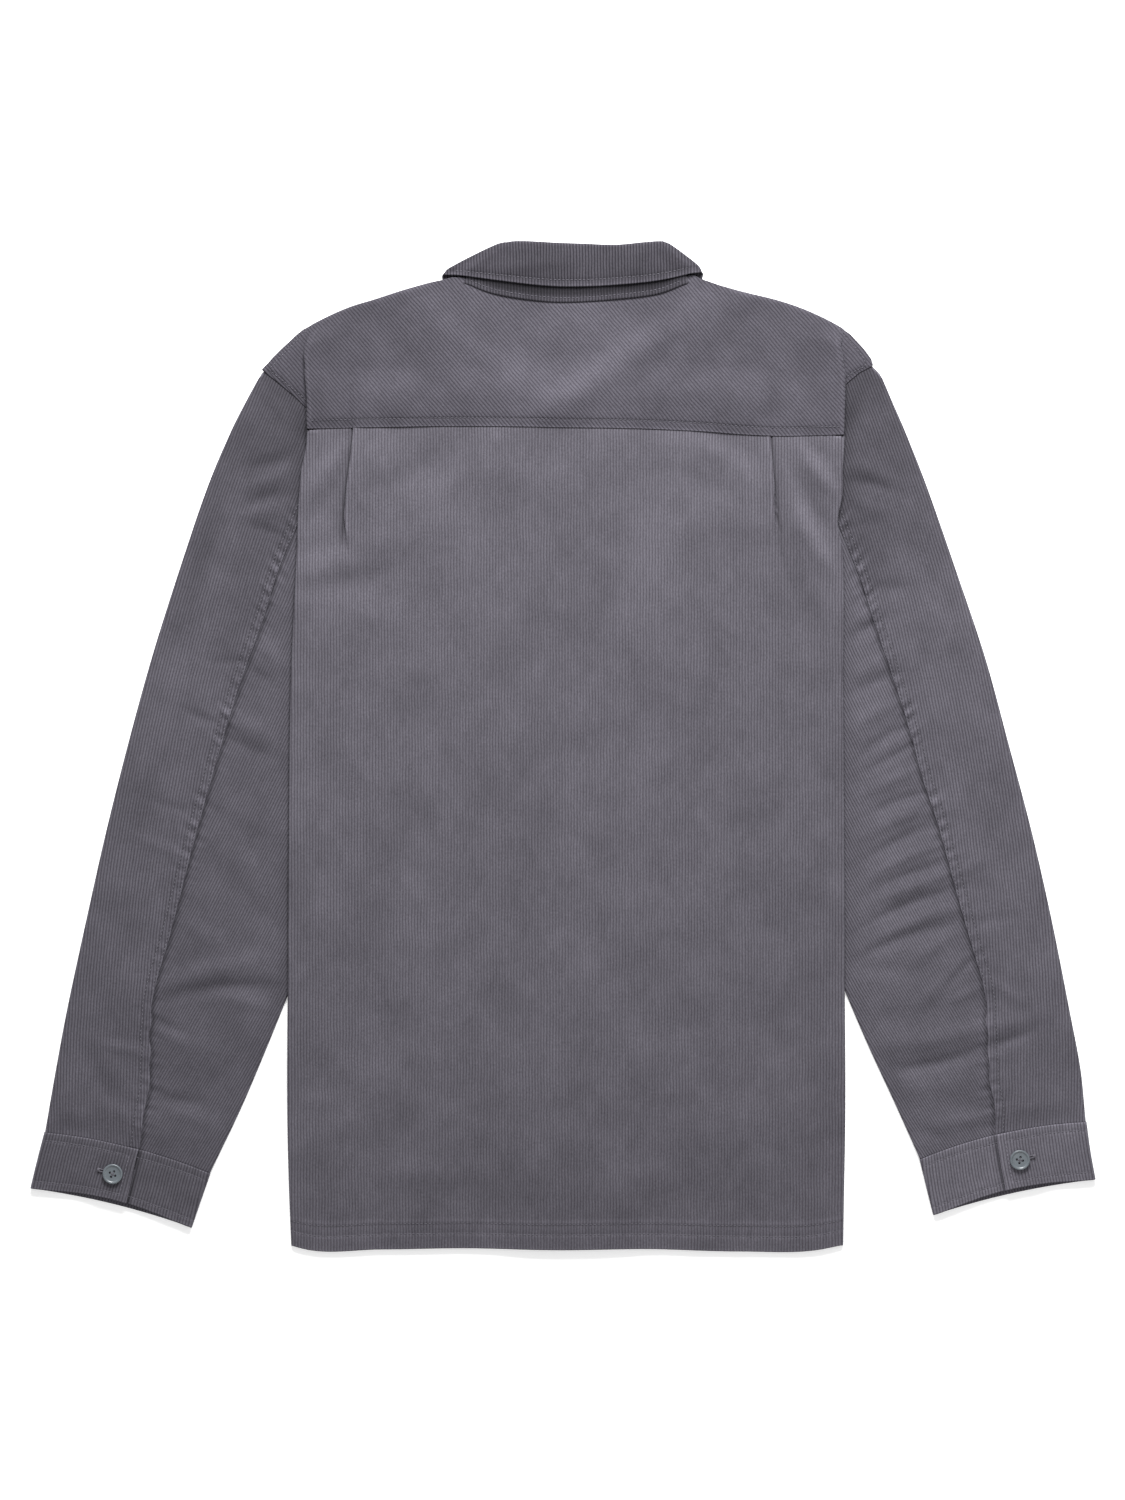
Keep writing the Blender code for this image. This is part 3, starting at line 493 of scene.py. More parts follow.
# Sleeve sections from the armhole to the cuff: the outer edge, the inner edge, and how far the
# section bows towards the collar
LEFT_SLEEVE = table("outer_x outer_y inner_x inner_y bow", [
    (-241, 297, -124, 176, 0),
    (-253, 275, -125, 140, 0),
    (-266, 249, -129, 100, 0),
    (-284.4, 205, -138, 50, 0),
    (-306.4, 140, -150, 0, 0),
    (-328.4, 70, -164, -50, 0),
    (-347.6, 0, -180, -100, 0),
    (-365.1, -70, -199, -150, 0),
    (-380.8, -140, -220.5, -200, 0),
    (-395.8, -210, -238, -243, 1),
    (-406, -265, -258, -290, 3),
    (-413.4, -308.5, -282.4, -341, 5),
])
RIGHT_SLEEVE = table("outer_x outer_y inner_x inner_y bow", [
    (253.4, 297, 136, 176, 0),
    (262.8, 275, 137, 140, 0),
    (274, 249, 141, 100, 0),
    (291.2, 205, 150, 50, 0),
    (313.8, 140, 162, 0, 0),
    (337.2, 70, 176, -50, 0),
    (356.2, 0, 190, -100, 0),
    (374.6, -70, 207, -150, 0),
    (390.4, -140, 227.5, -200, 0),
    (404.2, -210, 246, -243, 1),
    (413.2, -258, 265, -284, 3),
    (417.4, -300.2, 285.6, -329.8, 6),
])
SLEEVES = {"left": LEFT_SLEEVE, "right": RIGHT_SLEEVE}

# The felled seam along the upper side of each sleeve
LEFT_SEAM = table("y x", [
    (238, -185), (178.8, -210.8), (142, -226.7), (101.4, -239.2), (52.4, -256.8),
    (21.4, -266.6), (-17.8, -278), (-58.6, -289.6), (-94.6, -299.2), (-127.2, -307.4),
    (-158, -315.5), (-192.4, -325.6), (-220.4, -329.6), (-263.4, -330.4), (-294, -334),
    (-318.6, -339.2), (-332, -341),
])
RIGHT_SEAM = table("y x", [
    (238, 196), (176.4, 220), (140.6, 234.8), (95.6, 249.4), (52.4, 264),
    (5.2, 278.7), (-26, 286.9), (-60.2, 298.4), (-94.6, 308), (-125.2, 316.3),
    (-164.7, 327.8), (-192.4, 335.9), (-232.8, 339.2), (-263.4, 340.8), (-294, 345.1),
    (-320, 347),
])
FELLED_SEAMS = {"left": LEFT_SEAM, "right": RIGHT_SEAM}

# How the sleeve's outer part laps over its inner part: lift in layers, and width of the lap
SEAM_LAP = table("y lift lap", [
    (300, 0, 0),
    (150, 0, 0),
    (120, 1, 0),
    (95, 1, 7),
    (-175, 1, 7),
    (-215, 1, 18),
    (-345, 1, 18),
])

# Cuff sections from the sleeve to the wrist: both edges, the bow and the edge of the upper end
LEFT_CUFF = table("outer_x outer_y inner_x inner_y bow end", [
    (-413.6, -309.3, -282.8, -341.8, 5, 0.560),
    (-419.4, -331.8, -290.4, -363.6, 4.5, 0.575),
    (-424.8, -354.2, -297.8, -385.2, 3.5, 0.590),
])
RIGHT_CUFF = table("outer_x outer_y inner_x inner_y bow end", [
    (417.5, -301, 286, -330.6, 6, 0.533),
    (420.6, -324, 291.4, -352.8, 5, 0.542),
    (424.8, -347.1, 297, -375.2, 3.5, 0.551),
])
CUFFS = {"left": LEFT_CUFF, "right": RIGHT_CUFF}

# How far a cuff's ends lap, how far the sleeve reaches into the cuff, the distance of a cuff's
# sections, and how far the upper side is drawn back at the wrist
CUFF_LAP = 21.0
CUFF_INSET = 2.4
CUFF_SECTION = 24.0
CUFF_DRAWN_BACK = 3.8

# Cuff buttons, the turn of their holes in degrees, and the side that the buttonhole runs to
CUFF_BUTTONS = table("x y turn slot_turn", [
    (-359.4, -342, 15, 164),
    (364.6, -330.8, 34, 14),
])

# Collar stations from the left front point round the back to the right front point
FALL_LEFT = table("fold_x fold_y edge_x edge_y", [
    (-2, 350, -62, 300),
    (-28, 380, -85, 339),
    (-45, 400.6, -97.4, 375),
])
FALL_BACK = table("fold_x fold_y edge_x edge_y", [
    (-46.2, 402, -96.4, 377.6),
    (-30, 402.3, -60, 372.5),
    (-5, 401, -20, 367.6),
    (17, 400.2, 8, 366.4),
    (42, 399.4, 42, 367.8),
    (64, 401.3, 78, 371.6),
    (79.6, 402.8, 110.6, 379.2),
])
FALL_RIGHT = table("fold_x fold_y edge_x edge_y", [
    (79, 401.2, 112.8, 376.6),
    (60, 380, 108, 339),
    (28, 350, 88, 300),
])
STAND_LEFT = table("fold_x fold_y edge_x edge_y", [
    (0, 345, -6, 321),
    (-26, 374, -48, 337),
    (-42.5, 396, -79, 364),
])
STAND_BACK = table("fold_x fold_y edge_x edge_y", [
    (-43, 399, -80, 371.8),
    (-29, 399, -56, 362.3),
    (-5, 397.8, -20, 356.4),
    (17, 397, 8, 355.3),
    (42, 396.2, 42, 357.5),
    (63, 398.1, 76, 362),
    (77, 400, 101, 371.6),
])
STAND_RIGHT = table("fold_x fold_y edge_x edge_y", [
    (76.5, 397, 100, 364),
    (56, 374, 72, 337),
    (24, 345, 30, 321),
])

# Heights of the fall's and the stand's folds, how much lower the fall's edge is, how much lower
# still its left and right tip are, the height of the ridge along the stand's seam, and the x of
# the collar's middle
FALL_HEIGHT = 9.2
FALL_DROOP = 2.4
LEFT_TIP_DROOP = 4.0
RIGHT_TIP_DROOP = 2.8
STAND_HEIGHT = 7.4
STAND_LIP = 0.8
COLLAR_MIDDLE = 13.0

# How far the yoke's lapped edge and its sides at the armholes are pressed down, and how far the
# back sinks under it
YOKE_PRESSED = 1.4
SEAM_SUNK = 0.65

# How much painted light lightens each sleeve and cuff, lighting the right ones and shading the
# left ones, how much painted shade darkens the top of each sleeve, and how much darker each side
# of the yoke is made towards its armhole
SLEEVE_PAINTED_LIGHT = {"left": -0.14, "right": 0.1}
UPPER_SLEEVE_PAINTED_SHADE = {"left": 0.5, "right": 0.74}
CUFF_PAINTED_LIGHT = {"left": -0.42, "right": 0.35}
YOKE_SIDE_DARKENING = {"left": 0.4, "right": 0.22}

# How much painted light lightens the cloth for each millimetre that a fold is raised, and painted
# shade darkens it for each millimetre that a fold is sunk
FOLD_PAINTED_LIGHT = 0.17
SLEEVE_FOLD_PAINTED_LIGHT = {"left": 0.17, "right": 0.04}

# How a sleeve's wales lean and bend as y grows: first its outer part's, then its inner part's
SLEEVE_WALES = {
    "left": (-0.21, -0.00035, -0.46, 0.0002),
    "right": (0.18, 0.00035, 0.49, -0.00024),
}

# Which way each crease of the collar bulges
LEFT_CREASE = np.array([-0.48, 0.87, 0.0])
RIGHT_CREASE = np.array([0.67, 0.74, 0.0])

# The profile of a stitch: how far along it each ring is, the ring's radius and its height above
# the line, both as shares of half the thread's width
STITCH_RINGS = table("along radius height", [
    (0, 0.25, -1.7),
    (0.12, 0.85, -0.3),
    (0.5, 1, 0.45),
    (0.88, 0.85, -0.3),
    (1, 0.25, -1.7),
])

# The profile of a button from the middle of its back round the rim to the middle of its dish
BUTTON_PROFILE = [
    (0, 0), (5.2, 0), (6.6, 0.25), (7.5, 0.8), (8, 1.5), (8, 1.9), (7.85, 2.3),
    (7.5, 2.55), (7, 2.6), (6.6, 2.5), (6.25, 2.25), (6, 2.05), (5.5, 1.95), (3, 1.9),
    (0, 1.9),
]

# A buttonhole and the bar at its end: from where to where each runs, measured from the button's
# middle along it, and the step of its stitches. Then half the slit, half the width of both rows
# beside it, half the bar, and how far their stitches lie above the cloth.
BUTTONHOLE = (-6.0, 11.6, 0.55)
BUTTONHOLE_BAR = (11.4, 12.8, 0.45)
SLIT_HALF = 0.3
ROWS_HALF = 1.5
BAR_HALF = 1.7
BUTTONHOLE_LIFT = 0.15

# The studio in metres: half the floor's width, and how far it lies below the garment
FLOOR_REACH = 6.0
FLOOR_DEPTH = 0.0002


def smooth(low, high, value):
    """Zero below low, one above high, and an even curve between them."""
    part = np.clip((value - low) / (high - low), 0.0, 1.0)
    return part * part * (3.0 - 2.0 * part)


def bell(value, reach):
    """One at zero, falling away on both sides over the reach."""
    return np.exp(-(value / reach) ** 2)


def flow(value, known, wanted):
    """A smooth curve through points, read at the values asked for.

    Between two points it is the cubic whose slope at each of them is the mean slope there.
    """
    if known[0] > known[-1]:
        known = known[::-1]
        wanted = wanted[::-1]
    slope = np.gradient(wanted, known)
    value = np.clip(value, known[0], known[-1])
    low = np.clip(np.searchsorted(known, value) - 1, 0, len(known) - 2)
    width = known[low + 1] - known[low]
    part = (value - known[low]) / width
    rise = part * part * (3.0 - 2.0 * part)
    first = part * (1.0 - part) ** 2 * width * slope[low]
    last = part * part * (part - 1.0) * width * slope[low + 1]
    return wanted[low] * (1.0 - rise) + wanted[low + 1] * rise + first + last


def by_y(source, name, y):
    """One column of a table, read at y along a smooth curve."""
    return flow(y, source["y"], source[name])


def straight(source, name, y):
    """One column of a table, read at y along straight lines."""
    return np.interp(y, source["y"][::-1], source[name][::-1])


def column(values):
    """An array as one column, so that it spreads over a grid."""
    return np.asarray(values, float)[:, None]


def spaced(start, end, count, *closer):
    """Values from start to end, closer together round each (place, reach, how much closer)."""
    fine = np.linspace(start, end, 4001)
    weight = np.ones(4001)
    for place, reach, gain in closer:
        weight = weight + gain * bell(fine - place, reach)
    total = np.concatenate([[0.0], np.cumsum(weight[1:])])
    return np.interp(np.linspace(0.0, total[-1], count), total, fine)


def laid_folds(marks, x, y):
    """Height of soft folds laid by hand.

    Each is its height times a bell curve of the distance across it, times another of the distance
    along it, on a line whose ends bend aside by the square of that distance.
    """
    total = np.zeros(np.broadcast(x, y).shape)
    for row in range(len(marks["x"])):
        turn = math.radians(marks["turn"][row])
        off_x = x - marks["x"][row]
        off_y = y - marks["y"][row]
        along = (off_x * math.cos(turn) + off_y * math.sin(turn)) / marks["length"][row]
        across = off_y * math.cos(turn) - off_x * math.sin(turn) - marks["bend"][row] * along ** 2
        total = total + marks["height"][row] * bell(across, marks["width"][row]) * bell(along, 1.0)
    return total


def unevenness(x, y):
    """The cloth's slight unrest: slow waves in four directions whose lengths don't agree."""
    return (0.16 * np.sin(x / 17.0 + 0.9 * np.sin(y / 41.0)) * np.sin(y / 53.0 + 1.0)
            + 0.12 * np.sin(y / 13.0 + x / 37.0 + 1.3 * np.sin(x / 29.0))
            + 0.10 * np.sin((x + y) / 9.3 + 2.0) * np.sin((x - 1.3 * y) / 31.0)
            + 0.06 * np.sin((x - y) / 6.1) * np.sin((x + 0.6 * y) / 22.0 + 0.5))


def stitch_dent(away, *places):
    """A narrow dent at each line of stitches, one deep at its middle."""
    return sum(bell(away - place, 0.8) for place in places)


def gathers(along, away):
    """Small gathers beside a seam: uneven waves along it, which die out away from it."""
    wave = (np.sin(along / 1.35 + 1.7 * np.sin(along / 17.0))
            + 0.7 * np.sin(along / 2.2 + 2.0 * np.sin(along / 29.0) + 1.0))
    strength = 0.65 + 0.35 * np.sin(along / 23.0 + 2.0 * np.sin(along / 61.0))
    return wave * strength * smooth(-0.5, 2.0, away) * bell(away, 8.0)


def pad(x, y):
    """One where a sleeve lies under the body, falling to zero beyond the sleeve's inner edge.

    The fall is an even curve over PAD_RAMP, and it ends at the shoulders too.
    """
    inside = np.minimum(x - straight(SLEEVE_SIDE, "left", y), straight(SLEEVE_SIDE, "right", y) - x)
    near = 1.0 - smooth(PAD_MARGIN, PAD_MARGIN + PAD_RAMP, inside)
    return near * (1.0 - smooth(*PAD_HEAD, y))


def band_rise(x, y):
    """The lift that the front buttons give to the closure: full along it, and none beside it."""
    across = 1.0 - smooth(*BUTTON_SLOPE, np.abs(x - FRONT_LINE))
    along = smooth(*BUTTON_FOOT, y) * (1.0 - smooth(*BUTTON_HEAD, y))
    return BAND_LIFT * across * along


def collar_rise(x, y):
    """The lift that the collar's front points give to what lies over them, one step of cloth."""
    across = 1.0 - smooth(*POINTS_SLOPE, np.abs(x - COLLAR_MIDDLE))
    return STEP * across * smooth(*POINTS_FOOT, y)


def band_lap(x, y):
    """The lift of the right front where it laps over the button band, one step of cloth."""
    across = 1.0 - smooth(*LAP_SLOPE, np.abs(x - FRONT_LINE))
    return STEP * across * (1.0 - smooth(*LAP_HEAD, y))


def front_level(x, y):
    """Middle of a front panel's wall: half the cloth, and what lies under it."""
    sleeve = SLEEVE_STACK * pad(x, y) * (1.0 - smooth(*SLEEVE_HEAD, y))
    return FLOOR + sleeve + band_rise(x, y) + collar_rise(x, y)


def back_level(x, y):
    """Middle of the back's wall where it lies on the fronts, one step above them."""
    under = SLEEVE_STACK * pad(x, y) + band_rise(x, y) + collar_rise(x, y)
    return FLOOR + STEP + under + band_lap(x, y)


def pleat_bump(x, y):
    """Thickness that the folded pleats add: two layers from each pleat's edge inwards."""
    level = np.clip(y, 128.0, BACK_TOP)
    left = x - by_y(PLEATS, "left", level)
    right = by_y(PLEATS, "right", level) - x
    inside = np.minimum(left, right)
    bump = smooth(-2.5, 0.3, inside) * (1.0 - smooth(24.0, 66.0, inside))
    return (2.0 * PLEAT_LAYER + 0.2) * bump * (1.0 - smooth(268.0, 305.0, y))


def half_turn():
    """Angles of the points round a half turn, without its two ends."""
    return np.linspace(0.0, math.pi, TURN_POINTS + 2)[1:-1]


def lengths(step):
    """How far along its row each point is: the sum of the steps before it."""
    return np.concatenate([np.zeros((len(step), 1)), np.cumsum(step, axis=1)], axis=1)


def tuck(start, edge, depth, end, fold, layer, lower_part, middle_part, upper_part):
    """Columns across a fold: out along the lower layer, back along the middle one and out again.

    Each part is how far along its layer every column lies. Gives x, the height above the lower
    layer, and how far along the upper layer each column lies.
    """
    toward = np.sign(end - edge)
    inner = edge + toward * depth
    turn = half_turn()
    lower = start + (inner - start) * lower_part
    first_turn = inner + toward * layer / 2 * np.sin(turn)
    middle = inner + (edge - inner) * middle_part
    second_turn = edge - toward * layer / 2 * np.sin(turn)
    upper = edge + (end - edge) * upper_part
    x = np.concatenate([lower, first_turn, middle, second_turn, upper], axis=1)
    rise = np.concatenate([
        0.0 * lower_part,
        0.5 - 0.5 * np.cos(turn),
        1.0 + 0.0 * middle_part,
        1.5 - 0.5 * np.cos(turn),
        2.0 + 0.0 * upper_part,
    ])
    before = np.zeros(len(lower_part) + len(middle_part) + 2 * TURN_POINTS)
    settle = np.concatenate([before, upper_part])
    length = lengths(np.hypot(np.diff(x, axis=1), layer * np.diff(rise)))
    flat = start + (end - start) * length / length[:, -1:]
    x = flat + (x - flat) * fold
    rise = layer * rise * smooth(0.0, 0.5, fold)
    return x, rise, np.broadcast_to(settle, x.shape)


def piece(points, u, v, tone_and_painted_light, **distances):
    """What one cloth piece is made from: its points, its wales, how much lighter or darker its
    colour is painted, mostly as painted light and shade, and the distances that its lines of
    stitches follow."""
    made = {"points": points}
    for name, values in dict(distances, u=u, v=v, tone_and_painted_light=tone_and_painted_light).items():
        made[name] = values + 0.0 * points[..., 0]
    return made


def carried_round(points, u, first, last):
    """Wales that are plain between two columns and follow the cloth's length beyond them."""
    length = lengths(np.linalg.norm(np.diff(points, axis=1), axis=2))
    u = u.copy()
    u[:, :first] = u[:, first:first + 1] + (length - length[:, first:first + 1])[:, :first]
    u[:, last:] = u[:, last:last + 1] + (length - length[:, last:last + 1])[:, last:]
    return u


def back_side(y, side):
    """Half of the back's columns, from the side seam round the edge and over the pleat."""
    toward = TOWARD[side]
    edge = column(by_y(BODY, side, y))
    seam = column(straight(SIDE_SEAM, side, y))
    under_part = spaced(0.0, 1.0, UNDER_COLUMNS)
    under = seam + (edge - seam) * under_part
    round_edge = edge - toward * STEP / 2 * np.sin(half_turn())
    pleat = column(by_y(PLEATS, side, y))
    depth = column(by_y(PLEATS, side + "_depth", y))
    fold = column(straight(PLEATS, side + "_fold", y))
    end = pleat + toward * PLEAT_REACH
    top, rise, settle = tuck(edge, pleat, depth, end, fold, PLEAT_LAYER,
                             spaced(0.0, 1.0, 20, (0.8, 0.12, 2.0)),
                             spaced(0.0, 1.0, 4), spaced(0.0, 1.0, 26, (0.0, 0.06, 2.0)))
    x = np.concatenate([under, round_edge, top], axis=1)
    turn = 0.5 - 0.5 * np.cos(half_turn())
    level = np.concatenate([0.0 * under_part, turn, np.ones(top.shape[1])])
    flat = np.zeros((len(y), len(under_part) + TURN_POINTS))
    rise = np.concatenate([flat, rise], axis=1)
    settle = np.concatenate([flat, settle], axis=1)
    return x, np.broadcast_to(level, x.shape), rise, settle


def whole_width(left, right, count, filled):
    """Columns of the left side, the middle and the right side, for x and each other value.

    In the middle x goes by even steps, and each other value is the one that fills it.
    """
    part = np.linspace(0.0, 1.0, count)[1:-1]
    middle = left[0][:, -1:] + (right[0][:, -1:] - left[0][:, -1:]) * part
    between = [middle] + [np.full(middle.shape, value) for value in filled]
    return [np.concatenate([first, inside, last[:, ::-1]], axis=1)
            for first, inside, last in zip(left, between, right)]


def hem_shift(x, y):
    """How far a body row moves to follow the hem, which is nothing well above it."""
    return (flow(x, HEM["x"], HEM["y"]) - HEM_LINE) * (1.0 - smooth(HEM_LINE, -314.0, y))


def back_piece():
    """The back panel: both returns, both pleats and the middle.

    Height is the return's level below and the back's level above, with the pleats' layers and the
    soft folds on top, a doubled hem and a dent along each line of stitches.
    """
    rows = spaced(BACK_TOP, HEM_LINE, BACK_ROWS, (254.0, 5.0, 1.2),
                  (HEM_LINE + HEM_STITCHES[0], 1.6, 3.0), (HEM_LINE + HEM_STITCHES[1], 1.6, 3.0),
                  (HEM_LINE, 2.0, 3.0))
    x, level, rise, settle = whole_width(back_side(rows, "left"), back_side(rows, "right"),
                                         BACK_MIDDLE, (1.0, 0.0, 1.0))
    from_edge = np.minimum(x - column(by_y(BODY, "left", rows)),
                           column(by_y(BODY, "right", rows)) - x)
    lap = (YOKE_LAP + 1.0) * smooth(6.0, 20.0, from_edge) - 1.0
    top = flow(x, YOKE_SEAM["x"], YOKE_SEAM["y"]) + lap
    follow = smooth(205.0, BACK_TOP, column(rows))
    y = column(rows) + (top - rows[0]) * follow + hem_shift(x, column(rows))
    lower = FLOOR + SLEEVE_STACK * pad(x, y)
    above_hem = column(rows) - HEM_LINE + 0.0 * x
    dent = stitch_dent(above_hem, *HEM_STITCHES)
    doubled = HEM_DOUBLED * (1.0 - smooth(*HEM_TURN, above_hem))
    calm = smooth(0.0, 14.0, from_edge)
    folds = laid_folds(BODY_MARKS, x, y)
    soft = folds + unevenness(x, y) + doubled - SOFT_SINK * dent
    ripple = HEM_GATHERS * gathers(x, above_hem - 8.0) * calm
    # The top of the back lies lower, under the yoke's edge, and the pleats settle below them
    below_seam = flow(x, YOKE_SEAM["x"], YOKE_SEAM["y"]) - y
    sunk = SEAM_SUNK * (1.0 - smooth(-2.5, 1.0, below_seam))
    upper = back_level(x, y) + soft * smooth(-2.0, 6.0, from_edge) + ripple - sunk
    fade = 1.0 - smooth(19.0, 62.0, settle * PLEAT_REACH)
    z = lower + (upper - lower) * level + rise * np.where(settle > 0.0, fade, 1.0)
    points = np.stack([x, y, z], axis=2)
    first = UNDER_COLUMNS + TURN_POINTS
    u = carried_round(points, x, first, x.shape[1] - first - 1)
    # Painted shade darkens the upper row of stitches and the cloth towards the hem, and painted
    # light brightens the edge, the lower row, the gathers, the pleats' edges and the raised folds
    tone_and_painted_light = (-0.55 * dent + 0.5 * bell(above_hem, 1.2) + 0.35 * ripple) * level
    tone_and_painted_light = tone_and_painted_light + stitch_dent(above_hem, HEM_STITCHES[0]) * level
    tone_and_painted_light = tone_and_painted_light - 0.18 * (1.0 - smooth(-390.0, -230.0, y))
    tone_and_painted_light = tone_and_painted_light + FOLD_PAINTED_LIGHT * folds * level * smooth(40.0, 120.0, y)
    pleat_edge = bell(settle * PLEAT_REACH - 0.8, 1.0) * (settle > 0.0) * (rise > 0.5)
    # Each pleat's edge shades the cloth beside it
    for side in SIDES:
        beside = TOWARD[side] * (column(by_y(PLEATS, side, rows)) - x)
        folded = np.minimum(1.6 * column(straight(PLEATS, side + "_fold", rows)), 1.0)
        shaded = 0.9 * bell(beside - 1.0, 1.8) + 0.2 * bell(beside - 3.0, 7.0)
        tone_and_painted_light = tone_and_painted_light - shaded * folded * level * (beside > 0.0) * (settle == 0.0) * (rise < 0.5)
    return piece(points, u, y, tone_and_painted_light + 0.35 * pleat_edge, hem=above_hem, level=level)


def yoke_side(y, side):
    """Half of the yoke's columns, from the armhole over the shoulder fold."""
    toward = TOWARD[side]
    armhole = column(straight(ARMHOLE, side, y))
    edge = column(by_y(BODY, side, y))
    depth = column(straight(SHOULDER, side + "_depth", y))
    fold = column(straight(SHOULDER, "fold", y))
    start = toward * np.minimum(toward * armhole, toward * edge + np.maximum(depth - 4.0, 4.0))
    end = edge + toward * SHOULDER_REACH
    return tuck(start, edge, depth, end, fold, STEP, spaced(0.0, 1.0, 16, (0.0, 0.1, 1.0)),
                spaced(0.0, 1.0, 5), spaced(0.0, 1.0, 26, (0.0, 0.05, 1.0)))


def yoke_piece():
    """The yoke, with its shoulder folds; its rows follow the shoulders above and the seam below.

    Height is the back's level with the lap, the pleats' thickness and the soft folds on top, and
    it curls down to the surface along the shoulders.
    """
    seam_row = 1.0 - YOKE_STITCHES / YOKE_DEPTH
    part = spaced(0.0, 1.0, YOKE_ROWS, (0.0, 0.02, 3.0), (seam_row, 0.015, 2.0), (1.0, 0.01, 3.0))
    rows = YOKE_TOP_ROW + (YOKE_LAST_ROW - YOKE_TOP_ROW) * part
    x, rise, settle = whole_width(yoke_side(rows, "left"), yoke_side(rows, "right"),
                                  YOKE_MIDDLE, (0.0, 1.0))
    part = column(part)
    # Its rows end higher where they are hidden in a shoulder fold, and lap over along the neck
    hidden = 1.0 - smooth(1.2 * STEP, 2.0 * STEP, np.where(settle > 0.0, 2.0 * STEP, rise[-1:, :]))
    neck = 1.0 - smooth(88.0, 98.0, np.abs(x[0] - COLLAR_MIDDLE))
    top = flow(x[0], YOKE_TOP["x"], YOKE_TOP["y"]) - SEAM_GAP + NECK_LAP * neck
    bottom = flow(x, YOKE_SEAM["x"], YOKE_SEAM["y"]) + 15.0 * hidden
    y = top + (bottom - top) * part
    low = FLOOR + STEP + (SLEEVE_STACK - STEP) * pad(x, y) + collar_rise(x, y)
    lap = 1.0 - smooth(276.0, 306.0, y)
    above_seam = y - bottom
    dent = stitch_dent(above_seam, YOKE_STITCHES) * smooth(0.0, 0.1, settle)
    soft = laid_folds(BODY_MARKS, x, y) + unevenness(x, y)
    ripple = YOKE_GATHERS * gathers(x, above_seam) * (above_seam > 3.0)
    pressed = YOKE_PRESSED * bell(above_seam, PRESS_REACH)
    high = back_level(x, y) + soft + STEP * lap + pleat_bump(x, y) - FIRM_SINK * dent + ripple
    share = smooth(0.0, 0.9, settle)
    z = (low + rise) * (1.0 - share) + high * share - pressed * (settle > 0.0)
    # The outer edge curls down to the surface along the shoulders but not along the neck
    shoulder = smooth(112.0, 130.0, np.abs(x - COLLAR_MIDDLE)) * (1.0 - pad(x, y))
    curl = np.clip((top - y) / SHOULDER_CURL, 0.0, 1.0)
    drop = 1.0 - np.sqrt(1.0 - (1.0 - curl) ** 2)
    z = z - (z - FLOOR) * 0.8 * drop * shoulder - 0.5 * neck * bell(top - y, 3.0)
    points = np.stack([x, y, z], axis=2)
    slant = math.radians(YOKE_SLANT)
    u = x * math.cos(slant) + y * math.sin(slant)
    v = y * math.cos(slant) - x * math.sin(slant)
    hole_edge = np.where(x < 0.0, x - x[:, :1], x[:, -1:] - x)
    at_hole = (rise < 0.2) * (settle == 0.0)
    arm_dent = stitch_dent(hole_edge, ARMHOLE_STITCHES) * at_hole
    arm_pressed = YOKE_PRESSED * bell(hole_edge, PRESS_REACH) * at_hole
    points[..., 2] -= SOFT_SINK * arm_dent + arm_pressed
    points[..., 2] = np.maximum(points[..., 2], FLOOR)
    # Painted shade darkens the stitches, painted light brightens the seam's and the folds' edges,
    # the gathers and the raised folds, and the cloth is made darker towards the armholes
    fold_edge = bell(settle * SHOULDER_REACH - 0.6, 1.2) * (settle > 0.0) * (rise > 0.5)
    tone_and_painted_light = -0.5 * (dent + arm_dent) + 0.45 * bell(above_seam, 1.0) * share + 0.3 * ripple
    tone_and_painted_light = tone_and_painted_light + FOLD_PAINTED_LIGHT * soft * share
    side_darkening = np.where(x < 0.0, YOKE_SIDE_DARKENING["left"], YOKE_SIDE_DARKENING["right"])
    tone_and_painted_light = tone_and_painted_light - side_darkening * smooth(30.0, 190.0, np.abs(x)) - 0.06
    return piece(points, u, v, tone_and_painted_light + 0.3 * fold_edge, seam=above_seam, hole=hole_edge,
                 settle=settle, rise=rise)


def front_piece(side):
    """A plain front, from the shoulder seam to the hem, with the sleeves' and buttons' lift."""
    source = FRONTS[side]
    rows = spaced(source["y"][0], HEM_LINE, FRONT_ROWS, (HEM_LINE, 3.0, 3.0))
    outer = straight(source, "outer", rows)
    seam = straight(SIDE_SEAM, side, rows) + TOWARD[side] * SEAM_GAP
    outer = np.where(rows <= source["y"][-1], seam, outer)
    inner = straight(source, "inner", rows)
    across = spaced(0.0, 1.0, FRONT_COLUMNS, (1.0, 0.03, 2.0))
    x = column(outer) + column(inner - outer) * across
    y = column(rows) + hem_shift(x, column(rows))
    z = front_level(x, y)
    if side == "right":
        z = z + band_lap(x, y)
    above_hem = column(rows) - HEM_LINE + 0.0 * x
    dent = stitch_dent(above_hem, *HEM_STITCHES)
    return piece(np.stack([x, y, z], axis=2), x, y, -0.5 * dent, hem=above_hem)


def band_piece():
    """The button band, which laps over the right front, at the fronts' height."""
    rows = column(spaced(316.0, HEM_LINE, BAND_ROWS))
    across = spaced(-1.0, 1.0, BAND_COLUMNS, (-0.8, 0.1, 2.0), (0.8, 0.1, 2.0))
    x = FRONT_LINE + BAND_HALF * across + 0.0 * rows
    y = rows + hem_shift(x, rows)
    dent = stitch_dent(BAND_HALF - np.abs(x - FRONT_LINE), BAND_STITCHES)
    z = front_level(x, y) + 0.25 * dent
    return piece(np.stack([x, y, z], axis=2), x, y, -0.5 * dent, middle=x - FRONT_LINE)


def spread(values, count):
    """A table's column read smoothly at evenly spaced stations."""
    stations = np.arange(len(values), dtype=float)
    return flow(np.linspace(0.0, len(values) - 1.0, count), stations, values)


